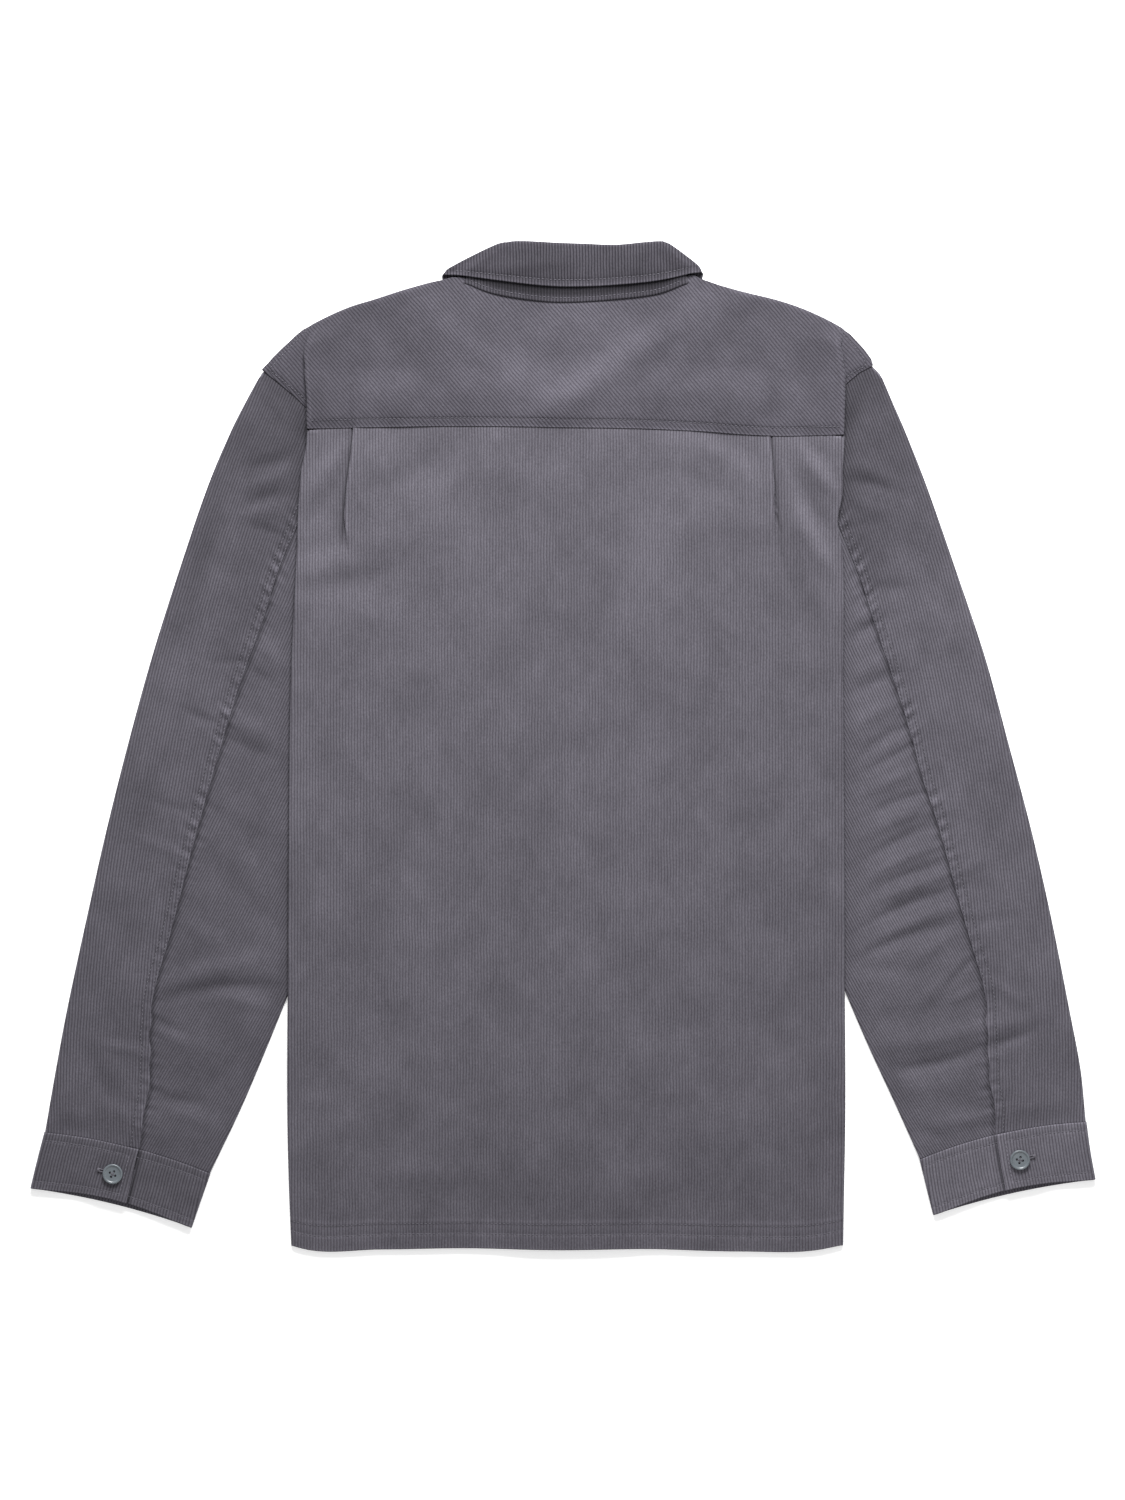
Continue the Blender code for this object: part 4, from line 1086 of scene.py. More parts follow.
def sections(edges, count):
    """A flattened tube's sections at evenly spaced stations, with the width of each."""
    found = {name: column(spread(values, count)) for name, values in edges.items()}
    found["width"] = np.hypot(found["inner_x"] - found["outer_x"],
                              found["inner_y"] - found["outer_y"])
    return found


def wrap(tube, line, lap, lift, step, floor, parts):
    """A flattened tube, open along one line of its upper side.

    Columns run from the lower end of the lap, round the inner edge, back under the tube, round
    the outer edge and along the upper side to the line. The line is a part of the way from the
    outer edge to the inner one. Gives the points, how far each is from the outer edge, how high
    it is from 0 on the floor to 1 on the upper side, and 1 for the columns that lap over.
    """
    under_part, floor_part, over_part = parts
    width = tube["width"]
    turn = half_turn()
    reach = step / 2 / width
    far = 1.0 - reach
    lower_end = line - lap / width + SEAM_GAP / width * (lap < 0.5)
    under = lower_end + (far - lower_end) * under_part
    inner_turn = far + reach * np.sin(turn)
    base = far + (reach - far) * floor_part
    outer_turn = reach - reach * np.sin(turn)
    over = reach + (line - reach) * over_part
    place = np.concatenate([under, inner_turn, base, outer_turn, over], axis=1)
    level = np.concatenate([
        1.0 + 0.0 * under_part,
        0.5 + 0.5 * np.cos(turn),
        0.0 * floor_part,
        0.5 - 0.5 * np.cos(turn),
        1.0 + 0.0 * over_part,
    ])
    upper = np.zeros(place.shape[1])
    upper[-len(over_part):] = 1.0
    bend = tube["bow"] * 4.0 * place * (1.0 - place)
    along_x = (tube["inner_x"] - tube["outer_x"]) / width
    along_y = (tube["inner_y"] - tube["outer_y"]) / width
    x = tube["outer_x"] + along_x * width * place + np.sign(along_x) * np.abs(along_y) * bend
    y = tube["outer_y"] + along_y * width * place + np.abs(along_x) * bend
    lifted = lift * upper * (1.0 - smooth(*LAP_RUNOUT, (line - place) * width))
    z = floor + step * (level + lifted)
    return np.stack([x, y, z], axis=2), place * width, level, upper


def seam_place(tube, seam):
    """Where a sleeve's seam crosses each section, as a part of the way from the outer edge."""
    place = np.full(tube["width"].shape, 0.45)
    for _ in range(8):
        y = tube["outer_y"] + (tube["inner_y"] - tube["outer_y"]) * place
        x = flow(y, seam["y"], seam["x"])
        place = (x - tube["outer_x"]) / (tube["inner_x"] - tube["outer_x"])
    return place, y


def sleeve_wales(side, x, y, inner):
    """Lines of the wales: x and a curve of y, one for the outer part and one for the inner."""
    outer_lean, outer_bend, inner_lean, inner_bend = SLEEVE_WALES[side]
    outer_wales = x + (outer_lean * y + outer_bend * y ** 2)
    inner_wales = x + (inner_lean * y + inner_bend * y ** 2)
    return outer_wales * (1.0 - inner) + inner_wales * inner


def into_cuff(grid, cuff, width, from_outer, above, station):
    """Brings a sleeve's upper side down to the middle of the cuff's wall, to end inside it.

    Its height goes over by an even curve of the last 13 sections, and the last two sections move
    on by CUFF_INSET along the cuff's outer edge.
    """
    near_end = smooth(0.0, 14.0, (cuff["end"][0] - from_outer / width) * width + 1.0)
    lapped = near_end * (1.0 - smooth(*LAP_RUNOUT, cuff["end"][0] * width - from_outer))
    cuff_middle = CUFF_CLOTH / 2 + CUFF_LAYER * (1.0 + lapped)
    arrive = smooth(len(grid) - 14.0, len(grid) - 1.0, station) * above
    grid[..., 2] = grid[..., 2] * (1.0 - arrive) + cuff_middle * arrive
    end = smooth(len(grid) - 3.0, len(grid) - 1.0, station) * above
    for axis, name in enumerate(("outer_x", "outer_y")):
        grid[..., axis] += CUFF_INSET * end * (cuff[name][1] - cuff[name][0]) / CUFF_SECTION


def sleeve_piece(side):
    """One sleeve from the armhole to the cuff seam.

    Height is a flattened tube with a soft rise of its upper side away from the body, the soft
    folds, the gathers beside the felled seam and a dent along each line of stitches.
    """
    tube = sections(SLEEVES[side], SLEEVE_SECTIONS)
    line, seam_y = seam_place(tube, FELLED_SEAMS[side])
    lap = straight(SEAM_LAP, "lap", seam_y)
    lift = straight(SEAM_LAP, "lift", seam_y)
    # Near the cuff the seam opens, and its free edge waves a little
    open_edge = 1.0 - smooth(-215.0, -180.0, seam_y)
    wavy = 0.7 * np.sin(seam_y / 5.1 + 1.5 * np.sin(seam_y / 19.0)) * open_edge
    line = line + wavy / tube["width"]
    parts = (spaced(0.0, 1.0, 40, (0.12, 0.08, 1.0)), spaced(0.0, 1.0, 8),
             spaced(0.0, 1.0, 36, (1.0, 0.09, 2.4)))
    grid, from_outer, level, upper = wrap(tube, line, lap, lift, LAYER, FLOOR, parts)
    x = grid[..., 0]
    y = grid[..., 1]
    width = tube["width"]
    edge = by_y(BODY, side, y)
    outside = (edge - x) * TOWARD[side]
    from_inner = width - from_outer
    free = np.where(y < SLEEVE_FREE, from_inner, np.minimum(outside, from_inner))
    round_out = 1.0 - np.exp(-from_outer / 8.0)
    puff = SLEEVE_PUFF * round_out * (1.0 - np.exp(-np.clip(free - PUFF_MARGIN, 0.0, None) / 16.0))
    marks = laid_folds(SLEEVE_MARKS[side], x, y) + unevenness(x, y)
    soft = marks * round_out * (1.0 - np.exp(-np.clip(free - 3.0, 0.0, None) / 6.0))
    away = line * width - from_outer
    showing = smooth(0.0, 10.0, free)
    felled = np.where(upper > 0.0, 1.0 - open_edge, 0.0) * showing
    dent = stitch_dent(away, *FELLED_STITCHES) * felled
    dent = dent + stitch_dent(away, FELLED_STITCHES[1]) * upper * open_edge
    along = seam_y * 1.04
    ripple = FELLED_GATHERS * gathers(along, away) * upper * (1.0 - 0.6 * open_edge) * showing
    inner_ripple = INNER_GATHERS * gathers(along + 4.0, -away) * (upper == 0.0) * showing
    above = smooth(0.4, 1.0, level)
    station = column(np.arange(len(grid), dtype=float))
    risen = smooth(2.0, 15.0, station)
    raised = (puff + soft) * risen + ripple + inner_ripple - SOFT_SINK * dent
    grid[..., 2] += raised * above
    # The upper side carries on under the yoke and the back, where the armhole is lapped
    start = 1.0 - smooth(0.0, 5.0, station)
    tuck_in = ARMHOLE_LAP[side] * math.sqrt(0.5) * smooth(0.1, 0.9, level) * start
    grid[..., 0] += tuck_in * TOWARD[side]
    grid[..., 1] += tuck_in
    into_cuff(grid, CUFFS[side], width, from_outer, above, station)
    place = from_outer / width
    inner = np.where(upper > 0.0, 0.0, np.clip(place + level * (place > 0.1), 0.0, 1.0))
    u = sleeve_wales(side, x, y, inner)
    # Painted shade darkens the stitches, the cloth beside the body's edge, the armhole and the top
    # of the sleeve, painted light brightens the puckers, the lap's edge and the raised folds, and
    # the right sleeve is painted lighter and the left darker
    pucker_highlight = 0.55 * ripple + 0.6 * np.clip(ripple, 0.0, None)
    tone_and_painted_light = -0.5 * dent + pucker_highlight + 0.5 * inner_ripple + 0.5 * bell(away, 1.2) * upper
    tone_and_painted_light = tone_and_painted_light - 0.26 * bell(station - 9.0, 9.0) - 0.2 * bell(free, 9.0) + SLEEVE_PAINTED_LIGHT[side]
    tone_and_painted_light = tone_and_painted_light + SLEEVE_FOLD_PAINTED_LIGHT[side] * marks * smooth(0.0, 20.0, station) * showing
    tone_and_painted_light = tone_and_painted_light - UPPER_SLEEVE_PAINTED_SHADE[side] * (1.0 - smooth(40.0, 150.0, station)) * upper
    # The lap's edge shades the cloth beside it
    tone_and_painted_light = tone_and_painted_light - 0.9 * bell(-away - 1.0, 1.7) * (away < 0.0) * (upper == 0.0) * showing
    return piece(grid, u, y, tone_and_painted_light * (level > 0.9), away=away, upper=upper, free=free,
                 opening=open_edge)


def cuff_piece(side):
    """One cuff band, whose upper end laps over the lower one.

    Height is a flattened tube of doubled cloth with a dent along each line of stitches; the
    wrist edge of the upper side is drawn back from that of the lower side.
    """
    tube = sections(CUFFS[side], CUFF_SECTIONS)
    depth = np.hypot(tube["outer_x"] - tube["outer_x"][0], tube["outer_y"] - tube["outer_y"][0])
    parts = (spaced(0.0, 1.0, 34), spaced(0.0, 1.0, 12), spaced(0.0, 1.0, 44, (1.0, 0.1, 2.0)))
    line = tube["end"]
    grid, from_outer, level, upper = wrap(tube, line, CUFF_LAP, 1.0, CUFF_LAYER,
                                          CUFF_CLOTH / 2, parts)
    width = tube["width"]
    place = from_outer / width
    arc = np.sin(math.pi * np.clip(place, 0.0, 1.0)) ** 1.5
    back = CUFF_DRAWN_BACK * arc * (depth / depth[-1]) ** 2
    grid[..., 1] += back * smooth(0.5, 1.0, level)
    # Columns that the upper end doesn't reach count as far from it
    far_off = 40.0
    from_end = np.where(upper > 0.0, line * width - from_outer, far_off)
    on_top = level > 0.9
    dent = stitch_dent(depth + 0.0 * place, CUFF_STITCHES, depth[-1, 0] - CUFF_STITCHES)
    dent = np.where(from_end > CUFF_STITCHES - 0.5, dent, 0.0) * on_top
    across = stitch_dent(from_end, CUFF_STITCHES)
    inside = (depth > CUFF_STITCHES) * (depth < depth[-1] - CUFF_STITCHES)
    dent = dent + across * inside * on_top
    x = grid[..., 0]
    y = grid[..., 1]
    ripple = (CUFF_GATHERS[0] * gathers(from_outer, depth)
              + CUFF_GATHERS[1] * gathers(from_outer + 30.0, depth[-1] - depth))
    soft = 0.5 * unevenness(3.0 * x, 3.0 * y)
    grid[..., 2] += (ripple + soft - FIRM_SINK * dent) * smooth(0.5, 1.0, level)
    # Painted light brightens the edges, the stitches and the gathers, painted shadow darkens the
    # cloth beside the upper end, and the right cuff is painted lighter and the left darker
    edges = bell(depth, 1.4) + bell(depth[-1] - depth, 1.4) + bell(from_end, 1.4)
    beyond = from_outer - line * width
    shaded = bell(beyond - 1.0, 1.8) * (beyond > 0.0) * (upper == 0.0)
    tone_and_painted_light = 0.35 * dent + 0.55 * edges + 0.5 * ripple + CUFF_PAINTED_LIGHT[side] - 1.1 * shaded
    return piece(grid, from_outer, depth, tone_and_painted_light * on_top, depth=depth, end=from_end, upper=upper,
                 level=level)


def strip_ends(source, count, fold_z, edge_z):
    """The fold and edge points of a collar strip's stations."""
    read = {name: spread(values, count) for name, values in source.items()}
    fold = np.stack([read["fold_x"], read["fold_y"], fold_z + 0.0 * read["fold_x"]], axis=1)
    edge = np.stack([read["edge_x"], read["edge_y"], edge_z + 0.0 * read["edge_x"]], axis=1)
    return np.stack([fold, edge], axis=1)


def crease(start, end, outward):
    """Stations round a half circle from one station to the one above or below it.

    The circle bulges outwards by its whole radius at the edge and by 0.3 of it at the fold.
    """
    turn = half_turn()[:, None, None]
    half = (end - start) / 2
    bulge = outward * np.abs(half[:, 2:]) * np.array([0.3, 1.0])[:, None]
    return (start + end) / 2 - half * np.cos(turn) + bulge * np.sin(turn)


def collar_piece(left, back, right, heights, part, shape):
    """A collar strip: each front part lies below, and the creases roll round to the back part.

    Points go straight from the fold to the edge, and shape adds to the back part's height from
    how far each point is from the fold and from the edge.
    """
    front_z, back_fold_z, back_edge_z = heights
    first = strip_ends(left, COLLAR_FRONT, front_z, front_z)
    second = strip_ends(back, COLLAR_BACK, back_fold_z, back_edge_z)
    third = strip_ends(right, COLLAR_FRONT, front_z, front_z)
    left_crease = crease(first[-1], second[0], LEFT_CREASE)
    right_crease = crease(second[-1], third[0], RIGHT_CREASE)
    ends = np.concatenate([first, left_crease, second, right_crease, third])
    on_back = np.zeros(len(ends))
    start = COLLAR_FRONT + TURN_POINTS
    on_back[start:start + COLLAR_BACK] = 1.0
    # The change from front to back part is spread over seven stations
    on_back = np.convolve(np.pad(on_back, 3, mode="edge"), np.ones(7) / 7.0, mode="valid")
    grid = ends[:, :1, :] * (1.0 - part[None, :, None]) + ends[:, 1:, :] * part[None, :, None]
    width = column(np.linalg.norm(ends[:, 1] - ends[:, 0], axis=1))
    from_fold = part * width
    from_edge = (1.0 - part) * width
    # Along each crease the cloth bows out a little, and its corners are rounded
    station = column(np.arange(len(ends), dtype=float))
    bow = 3.6 * part * (1.0 - part) - 1.2 * bell(from_fold, 3.5) - 2.2 * bell(from_edge, 3.5)
    middle = COLLAR_FRONT + (TURN_POINTS - 1) / 2
    for place, outward in ((middle, LEFT_CREASE), (len(ends) - 1.0 - middle, RIGHT_CREASE)):
        grid += (bow * bell(station - place, 7.0))[..., None] * outward
    x = grid[..., 0]
    y = grid[..., 1]
    added, tone_and_painted_light = shape(x, y, from_fold, from_edge)
    grid[..., 2] += added * column(on_back)
    return piece(grid, x + 0.02 * y, y, tone_and_painted_light * column(on_back), edge=from_edge, back=column(on_back))


def fall_shape(x, y, from_fold, from_edge):
    """The fall swells a little, rolls over at its fold and is dented along its stitches."""
    roll = 1.0 - np.sqrt(1.0 - (1.0 - np.clip(from_fold / 2.4, 0.0, 1.0)) ** 2)
    dent = stitch_dent(from_edge, COLLAR_STITCHES)
    swell = 0.7 * smooth(0.0, 10.0, from_fold) * smooth(0.0, 14.0, from_edge)
    ripple = FALL_GATHERS * gathers(x, from_edge)
    height = swell + laid_folds(COLLAR_MARKS, x, y) - 1.5 * roll - FIRM_SINK * dent + ripple
    # Its colour gets painted shade in the stitches' dent and painted light along the edge and on
    # the gathers
    return height, -0.5 * dent + bell(from_edge - 0.8, 2.2) + 0.3 * ripple


def stand_shape(x, y, from_fold, from_edge):
    """The stand's lower edge laps over the yoke as a stitched ridge with painted light on it, and
    the rest is darkened by the fall's painted shadow.
    """
    lip = STAND_LIP * (1.0 - smooth(3.0, 9.0, from_edge))
    dent = stitch_dent(from_edge, STAND_STITCHES)
    ripple = STAND_GATHERS * gathers(x, from_edge)
    deep = smooth(3.0, 6.0, from_edge)
    # Painted light on the ridge's edge, painted shade in the stitches' dent, and the fall's painted
    # shadow over the whole stand, deepest above the ridge
    tone_and_painted_light = -0.2 * dent + 0.3 * bell(from_edge - 0.5, 1.8) - 0.9 * deep - 0.36
    return lip - FIRM_SINK * dent + ripple, tone_and_painted_light


def linear(code):
    """The linear colour of an sRGB hex code."""
    parts = [int(code[start:start + 2], 16) / 255 for start in (0, 2, 4)]
    bright = [part / 12.92 if part < 0.04045 else ((part + 0.055) / 1.055) ** 2.4 for part in parts]
    return (*bright, 1.0)


def add(tree, kind, settings, inputs):
    """Adds a node, sets its settings, and sets or links each of its inputs."""
    node = tree.nodes.new(kind)
    for name, value in settings.items():
        setattr(node, name, value)
    for name, value in inputs.items():
        if isinstance(value, bpy.types.NodeSocket):
            tree.links.new(value, node.inputs[name])
        else:
            node.inputs[name].default_value = value
    return node


def plain_shader(name, settings):
    """A new material with its shader's own sockets set."""
    material = bpy.data.materials.new(name)
    material.use_nodes = True
    shader = material.node_tree.nodes["Principled BSDF"]
    for socket, value in settings.items():
        shader.inputs[socket].default_value = value
    return material, material.node_tree, shader


def corduroy(name, top, groove):
    """Cotton corduroy, woven and its pile cut: round ribs of soft pile with dark narrow grooves.

    The eye sees a dull, velvety surface with fine lines, slightly cloudy, with painted light
    that makes it lighter at edges and gathers, and painted shade that makes it darker where
    stitches sink it.
    """
    material, tree, shader = plain_shader(name, {
        "Roughness": 0.95, "IOR": 1.46, "Specular IOR Level": 0.12,
        "Sheen Weight": 0.16, "Sheen Roughness": 0.5, "Sheen Tint": linear("b9b6c4"),
    })
    math_node = "ShaderNodeMath"
    place = add(tree, "ShaderNodeUVMap", {"uv_map": "wales"}, {}).outputs["UV"]
    spot = add(tree, "ShaderNodeTexCoord", {}, {}).outputs["Object"]
    apart = add(tree, "ShaderNodeSeparateXYZ", {}, {0: place})
    # The wales wander by about a third of a millimetre to either side
    wander = add(tree, "ShaderNodeTexNoise", {}, {"Vector": place, "Scale": 0.045, "Detail": 2.0})
    aside = add(tree, math_node, {"operation": "MULTIPLY_ADD"},
                {0: wander.outputs["Fac"], 1: 1.6, 2: apart.outputs["X"]})
    phase = add(tree, math_node, {"operation": "MULTIPLY"},
                {0: aside.outputs[0], 1: math.pi / WALE})
    wave = add(tree, math_node, {"operation": "SINE"}, {0: phase.outputs[0]})
    half = add(tree, math_node, {"operation": "ABSOLUTE"}, {0: wave.outputs[0]})
    rib = add(tree, math_node, {"operation": "POWER"}, {0: half.outputs[0], 1: 0.75}).outputs[0]
    # Tufts of pile, about 0.9 mm apart and longer along the wale
    stretch = add(tree, "ShaderNodeMapping", {}, {"Vector": place, "Scale": (1.1, 0.55, 1.0)})
    tufts = add(tree, "ShaderNodeTexNoise", {}, {
        "Vector": stretch.outputs[0], "Scale": 1.0, "Detail": 3.0,
        "Roughness": 0.65}).outputs["Fac"]
    # Painted sheen: lengths of a wale that catch the light together, 10 to 20 mm long
    long_way = add(tree, "ShaderNodeMapping", {}, {"Vector": place, "Scale": (0.38, 0.07, 1.0)})
    sheen_streaks = add(tree, "ShaderNodeTexNoise", {}, {
        "Vector": long_way.outputs[0], "Scale": 1.0, "Detail": 2.0}).outputs["Fac"]
    # Clouds in the pile, up to 45 mm across
    clouds = add(tree, "ShaderNodeTexNoise", {}, {
        "Vector": spot, "Scale": 22.0, "Detail": 5.0, "Roughness": 0.72}).outputs["Fac"]
    # Painted light and shade, with a little tone, that each cloth piece carries and that scales the
    # colour
    tone_and_painted_light = add(tree, "ShaderNodeAttribute", {"attribute_name": "tone_and_painted_light"}, {}).outputs["Fac"]
    shade = None
    for source, strength in ((tufts, 1.05), (sheen_streaks, 0.3), (clouds, 0.8)):
        step = add(tree, math_node, {"operation": "MULTIPLY_ADD"},
                   {0: source, 1: strength, 2: 1.0 - strength / 2}).outputs[0]
        if shade is not None:
            step = add(tree, math_node, {"operation": "MULTIPLY"}, {0: shade, 1: step}).outputs[0]
        shade = step
    painted_light_factor = add(tree, math_node, {"operation": "MULTIPLY_ADD"},
                 {0: tone_and_painted_light, 1: 0.5, 2: 1.0}).outputs[0]
    shade = add(tree, math_node, {"operation": "MULTIPLY"}, {0: shade, 1: painted_light_factor}).outputs[0]
    colour = add(tree, "ShaderNodeMix", {"data_type": "RGBA"},
                 {0: rib, 6: linear(groove), 7: linear(top)})
    shaded = add(tree, "ShaderNodeVectorMath", {"operation": "SCALE"},
                 {0: colour.outputs[2], "Scale": shade})
    tree.links.new(shaded.outputs[0], shader.inputs["Base Color"])
    pile = add(tree, math_node, {"operation": "MULTIPLY_ADD"}, {0: tufts, 1: 0.5, 2: rib})
    bump = add(tree, "ShaderNodeBump", {}, {
        "Strength": 1.0, "Distance": WALE_HEIGHT * METRE, "Height": pile.outputs[0]})
    tree.links.new(bump.outputs[0], shader.inputs["Normal"])
    return material


def sewing_thread():
    """Spun polyester sewing thread: twisted and slightly glossy, in the cloth's own grey."""
    material, tree, shader = plain_shader("spun_polyester_thread", {
        "Roughness": 0.6, "IOR": 1.54, "Specular IOR Level": 0.3, "Sheen Weight": 0.1,
    })
    spot = add(tree, "ShaderNodeTexCoord", {}, {}).outputs["Object"]
    fibres = add(tree, "ShaderNodeTexNoise", {}, {"Vector": spot, "Scale": 900.0, "Detail": 2.0})
    colour = add(tree, "ShaderNodeMix", {"data_type": "RGBA"},
                 {0: fibres.outputs["Fac"], 6: linear("4b4950"), 7: linear("625f68")})
    tree.links.new(colour.outputs[2], shader.inputs["Base Color"])
    return material


def button_resin():
    """Polyester resin, cast and turned: satin blue-grey with faint clouds and a tumbled surface."""
    material, tree, shader = plain_shader("cast_polyester_resin", {
        "Roughness": 0.36, "IOR": 1.56, "Specular IOR Level": 0.5, "Coat Weight": 0.1,
        "Coat Roughness": 0.25,
    })
    spot = add(tree, "ShaderNodeTexCoord", {}, {}).outputs["Object"]
    clouds = add(tree, "ShaderNodeTexNoise", {}, {"Vector": spot, "Scale": 260.0, "Detail": 3.0})
    colour = add(tree, "ShaderNodeMix", {"data_type": "RGBA"},
                 {0: clouds.outputs["Fac"], 6: linear("51575c"), 7: linear("60676c")})
    tree.links.new(colour.outputs[2], shader.inputs["Base Color"])
    scratches = add(tree, "ShaderNodeTexNoise", {},
                    {"Vector": spot, "Scale": 1800.0, "Detail": 2.0})
    bump = add(tree, "ShaderNodeBump", {}, {
        "Strength": 0.25, "Distance": 0.05 * METRE, "Height": scratches.outputs["Fac"]})
    tree.links.new(bump.outputs[0], shader.inputs["Normal"])
    return material


def smooth_mesh(name, points, faces, material):
    """A mesh in metres, shaded smooth, from points in the tables' millimetres."""
    mesh = bpy.data.meshes.new(name)
    places = (points.reshape(-1, 3) - (0.0, ORIGIN_Y, 0.0)) * METRE
    mesh.from_pydata(places.tolist(), [], faces)
    mesh.materials.append(material)
    mesh.polygons.foreach_set("use_smooth", np.ones(len(mesh.polygons), bool))
    return mesh


def in_scene(name, data):
    """A new object of the scene."""
    item = bpy.data.objects.new(name, data)
    bpy.context.scene.collection.objects.link(item)
    return item


def cloth(name, node, made, material, thickness=CLOTH):
    """A wall of cloth over a grid of points, with its wales and its painted light and shade."""
    rows, columns = made["points"].shape[:2]
    corner = np.arange(rows * columns).reshape(rows, columns)
    faces = np.stack([corner[:-1, :-1], corner[:-1, 1:], corner[1:, 1:], corner[1:, :-1]], axis=2)
    faces = faces.reshape(-1, 4)
    mesh = smooth_mesh(name, made["points"], faces.tolist(), material)
    wales = np.stack([made["u"].ravel(), made["v"].ravel()], axis=1)[faces.ravel()]
    mesh.uv_layers.new(name="wales").data.foreach_set("uv", wales.ravel())
    mesh.attributes.new("tone_and_painted_light", "FLOAT", "POINT").data.foreach_set("value", made["tone_and_painted_light"].ravel())
    item = in_scene(name, mesh)
    wall = item.modifiers.new("Wall", "SOLIDIFY")
    wall.thickness = thickness * METRE
    wall.offset = 0.0
    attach(item, "root")
    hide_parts(node)
    return item


def read_grid(values, rows, columns):
    """Values of a grid between its points, mixed from the four that are nearest."""
    low_row = np.clip(rows.astype(int), 0, values.shape[0] - 2)
    low_column = np.clip(columns.astype(int), 0, values.shape[1] - 2)
    down = (rows - low_row)[:, None]
    right = (columns - low_column)[:, None]
    upper = values[low_row, low_column] * (1.0 - right) + values[low_row, low_column + 1] * right
    low_row = low_row + 1
    lower = values[low_row, low_column] * (1.0 - right) + values[low_row, low_column + 1] * right
    return upper * (1.0 - down) + lower * down


def sewn_line(made, name, value, keep=None, down=True, face=1.0, lift=CLOTH / 2 + STITCH_LIFT):
    """A line of stitches where one of a piece's distances has a value.

    The place is looked for between the points of every row, or of every column for a line that
    runs across, and only between points that are kept. Gives each stitch's start, end and way up.
    """
    grid = made["points"]
    if keep is None:
        keep = np.ones(grid.shape[:2], bool)
    part = (made[name] if down else made[name].T) - value
    allowed = keep if down else keep.T
    crossed = (part[:, :-1] * part[:, 1:] <= 0.0) & allowed[:, :-1] & allowed[:, 1:]
    index = np.flatnonzero(crossed.any(axis=1))
    hit = np.argmax(crossed[index], axis=1)
    near = part[index, hit]
    gap = near - part[index, hit + 1]
    place = hit + near / np.where(gap == 0.0, 1.0, gap)
    rows, columns = (index * 1.0, place) if down else (place, index * 1.0)
    normal = np.cross(np.gradient(grid, axis=1), np.gradient(grid, axis=0))
    normal = normal / np.linalg.norm(normal, axis=2, keepdims=True)
    up = read_grid(normal, rows, columns)
    up = up * np.sign(up[:, 2:]) * face
    points = read_grid(grid, rows, columns) + lift * up
    length = np.concatenate([[0.0], np.cumsum(np.linalg.norm(np.diff(points, axis=0), axis=1))])
    begin = np.arange(FIRST_STITCH, length[-1] - STITCH, STITCH_STEP)
    return [np.stack([np.interp(wanted, length, source[:, axis]) for axis in range(3)], axis=1)
            for wanted, source in ((begin, points), (begin + STITCH, points), (begin, up))]


def stitches(name, lines, material, thick=THREAD):
    """Stitches joined in one piece: bent capsules of six sides, each from its start to its end.

    Each ring's points are its middle, and its radius times the cosine of an angle sideways and
    the sine upwards.
    """
    start, end, up = (np.concatenate(parts)[:, None, None, :] for parts in zip(*lines))
    side = np.cross(end - start, up)
    side = side / np.linalg.norm(side, axis=3, keepdims=True)
    angle = np.linspace(0.0, 2.0 * math.pi, THREAD_SIDES + 1)[:-1][None, None, :, None]
    along, radius, height = (values[None, :, None, None] for values in STITCH_RINGS.values())
    ring = thick * radius * (side * np.cos(angle) + up * np.sin(angle))
    points = start + (end - start) * along + up * (thick * height) + ring
    base = np.arange(points.size // 3).reshape(points.shape[:3])
    following = np.roll(base, -1, axis=2)
    quads = np.stack([base[:, :-1], following[:, :-1], following[:, 1:], base[:, 1:]], axis=3)
    caps = base[:, 0, ::-1].tolist() + base[:, -1, :].tolist()
    faces = quads.reshape(-1, 4).tolist() + caps
    item = in_scene(name, smooth_mesh(name, points, faces, material))
    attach(item, "root")
    return item


def buttonhole(x, y, z, turn):
    """Stitches of a buttonhole: two rows across the slit's sides, and a bar at its far end."""
    way = np.array([math.cos(math.radians(turn)), math.sin(math.radians(turn)), 0.0])
    side = np.array([-way[1], way[0], 0.0])
    slit = np.array([x, y, z]) + way * column(np.arange(*BUTTONHOLE))
    bar = np.array([x, y, z]) + way * column(np.arange(*BUTTONHOLE_BAR))
    starts = np.concatenate([slit + side * SLIT_HALF, slit - side * SLIT_HALF,
                             bar - side * BAR_HALF])
    ends = np.concatenate([slit + side * ROWS_HALF, slit - side * ROWS_HALF,
                           bar + side * BAR_HALF])
    return starts, ends, np.zeros(starts.shape) + (0.0, 0.0, 1.0)


def crossed_thread(x, y, z, turn):
    """Thread that crosses a button's four holes, two strands each way."""
    starts = []
    ends = []
    for quarter in (45.0, 135.0):
        angle = math.radians(turn + quarter)
        way = np.array([math.cos(angle), math.sin(angle), 0.0]) * HOLE_SPACING * math.sqrt(2.0)
        across = np.array([-way[1], way[0], 0.0]) / HOLE_SPACING / math.sqrt(2.0)
        for shift in (-BUTTON_THREAD, BUTTON_THREAD):
            middle = np.array([x, y, z]) + across * shift
            starts.append(middle - way)
            ends.append(middle + way)
    starts = np.array(starts)
    ends = np.array(ends)
    return starts, ends, np.zeros(starts.shape) + (0.0, 0.0, 1.0)


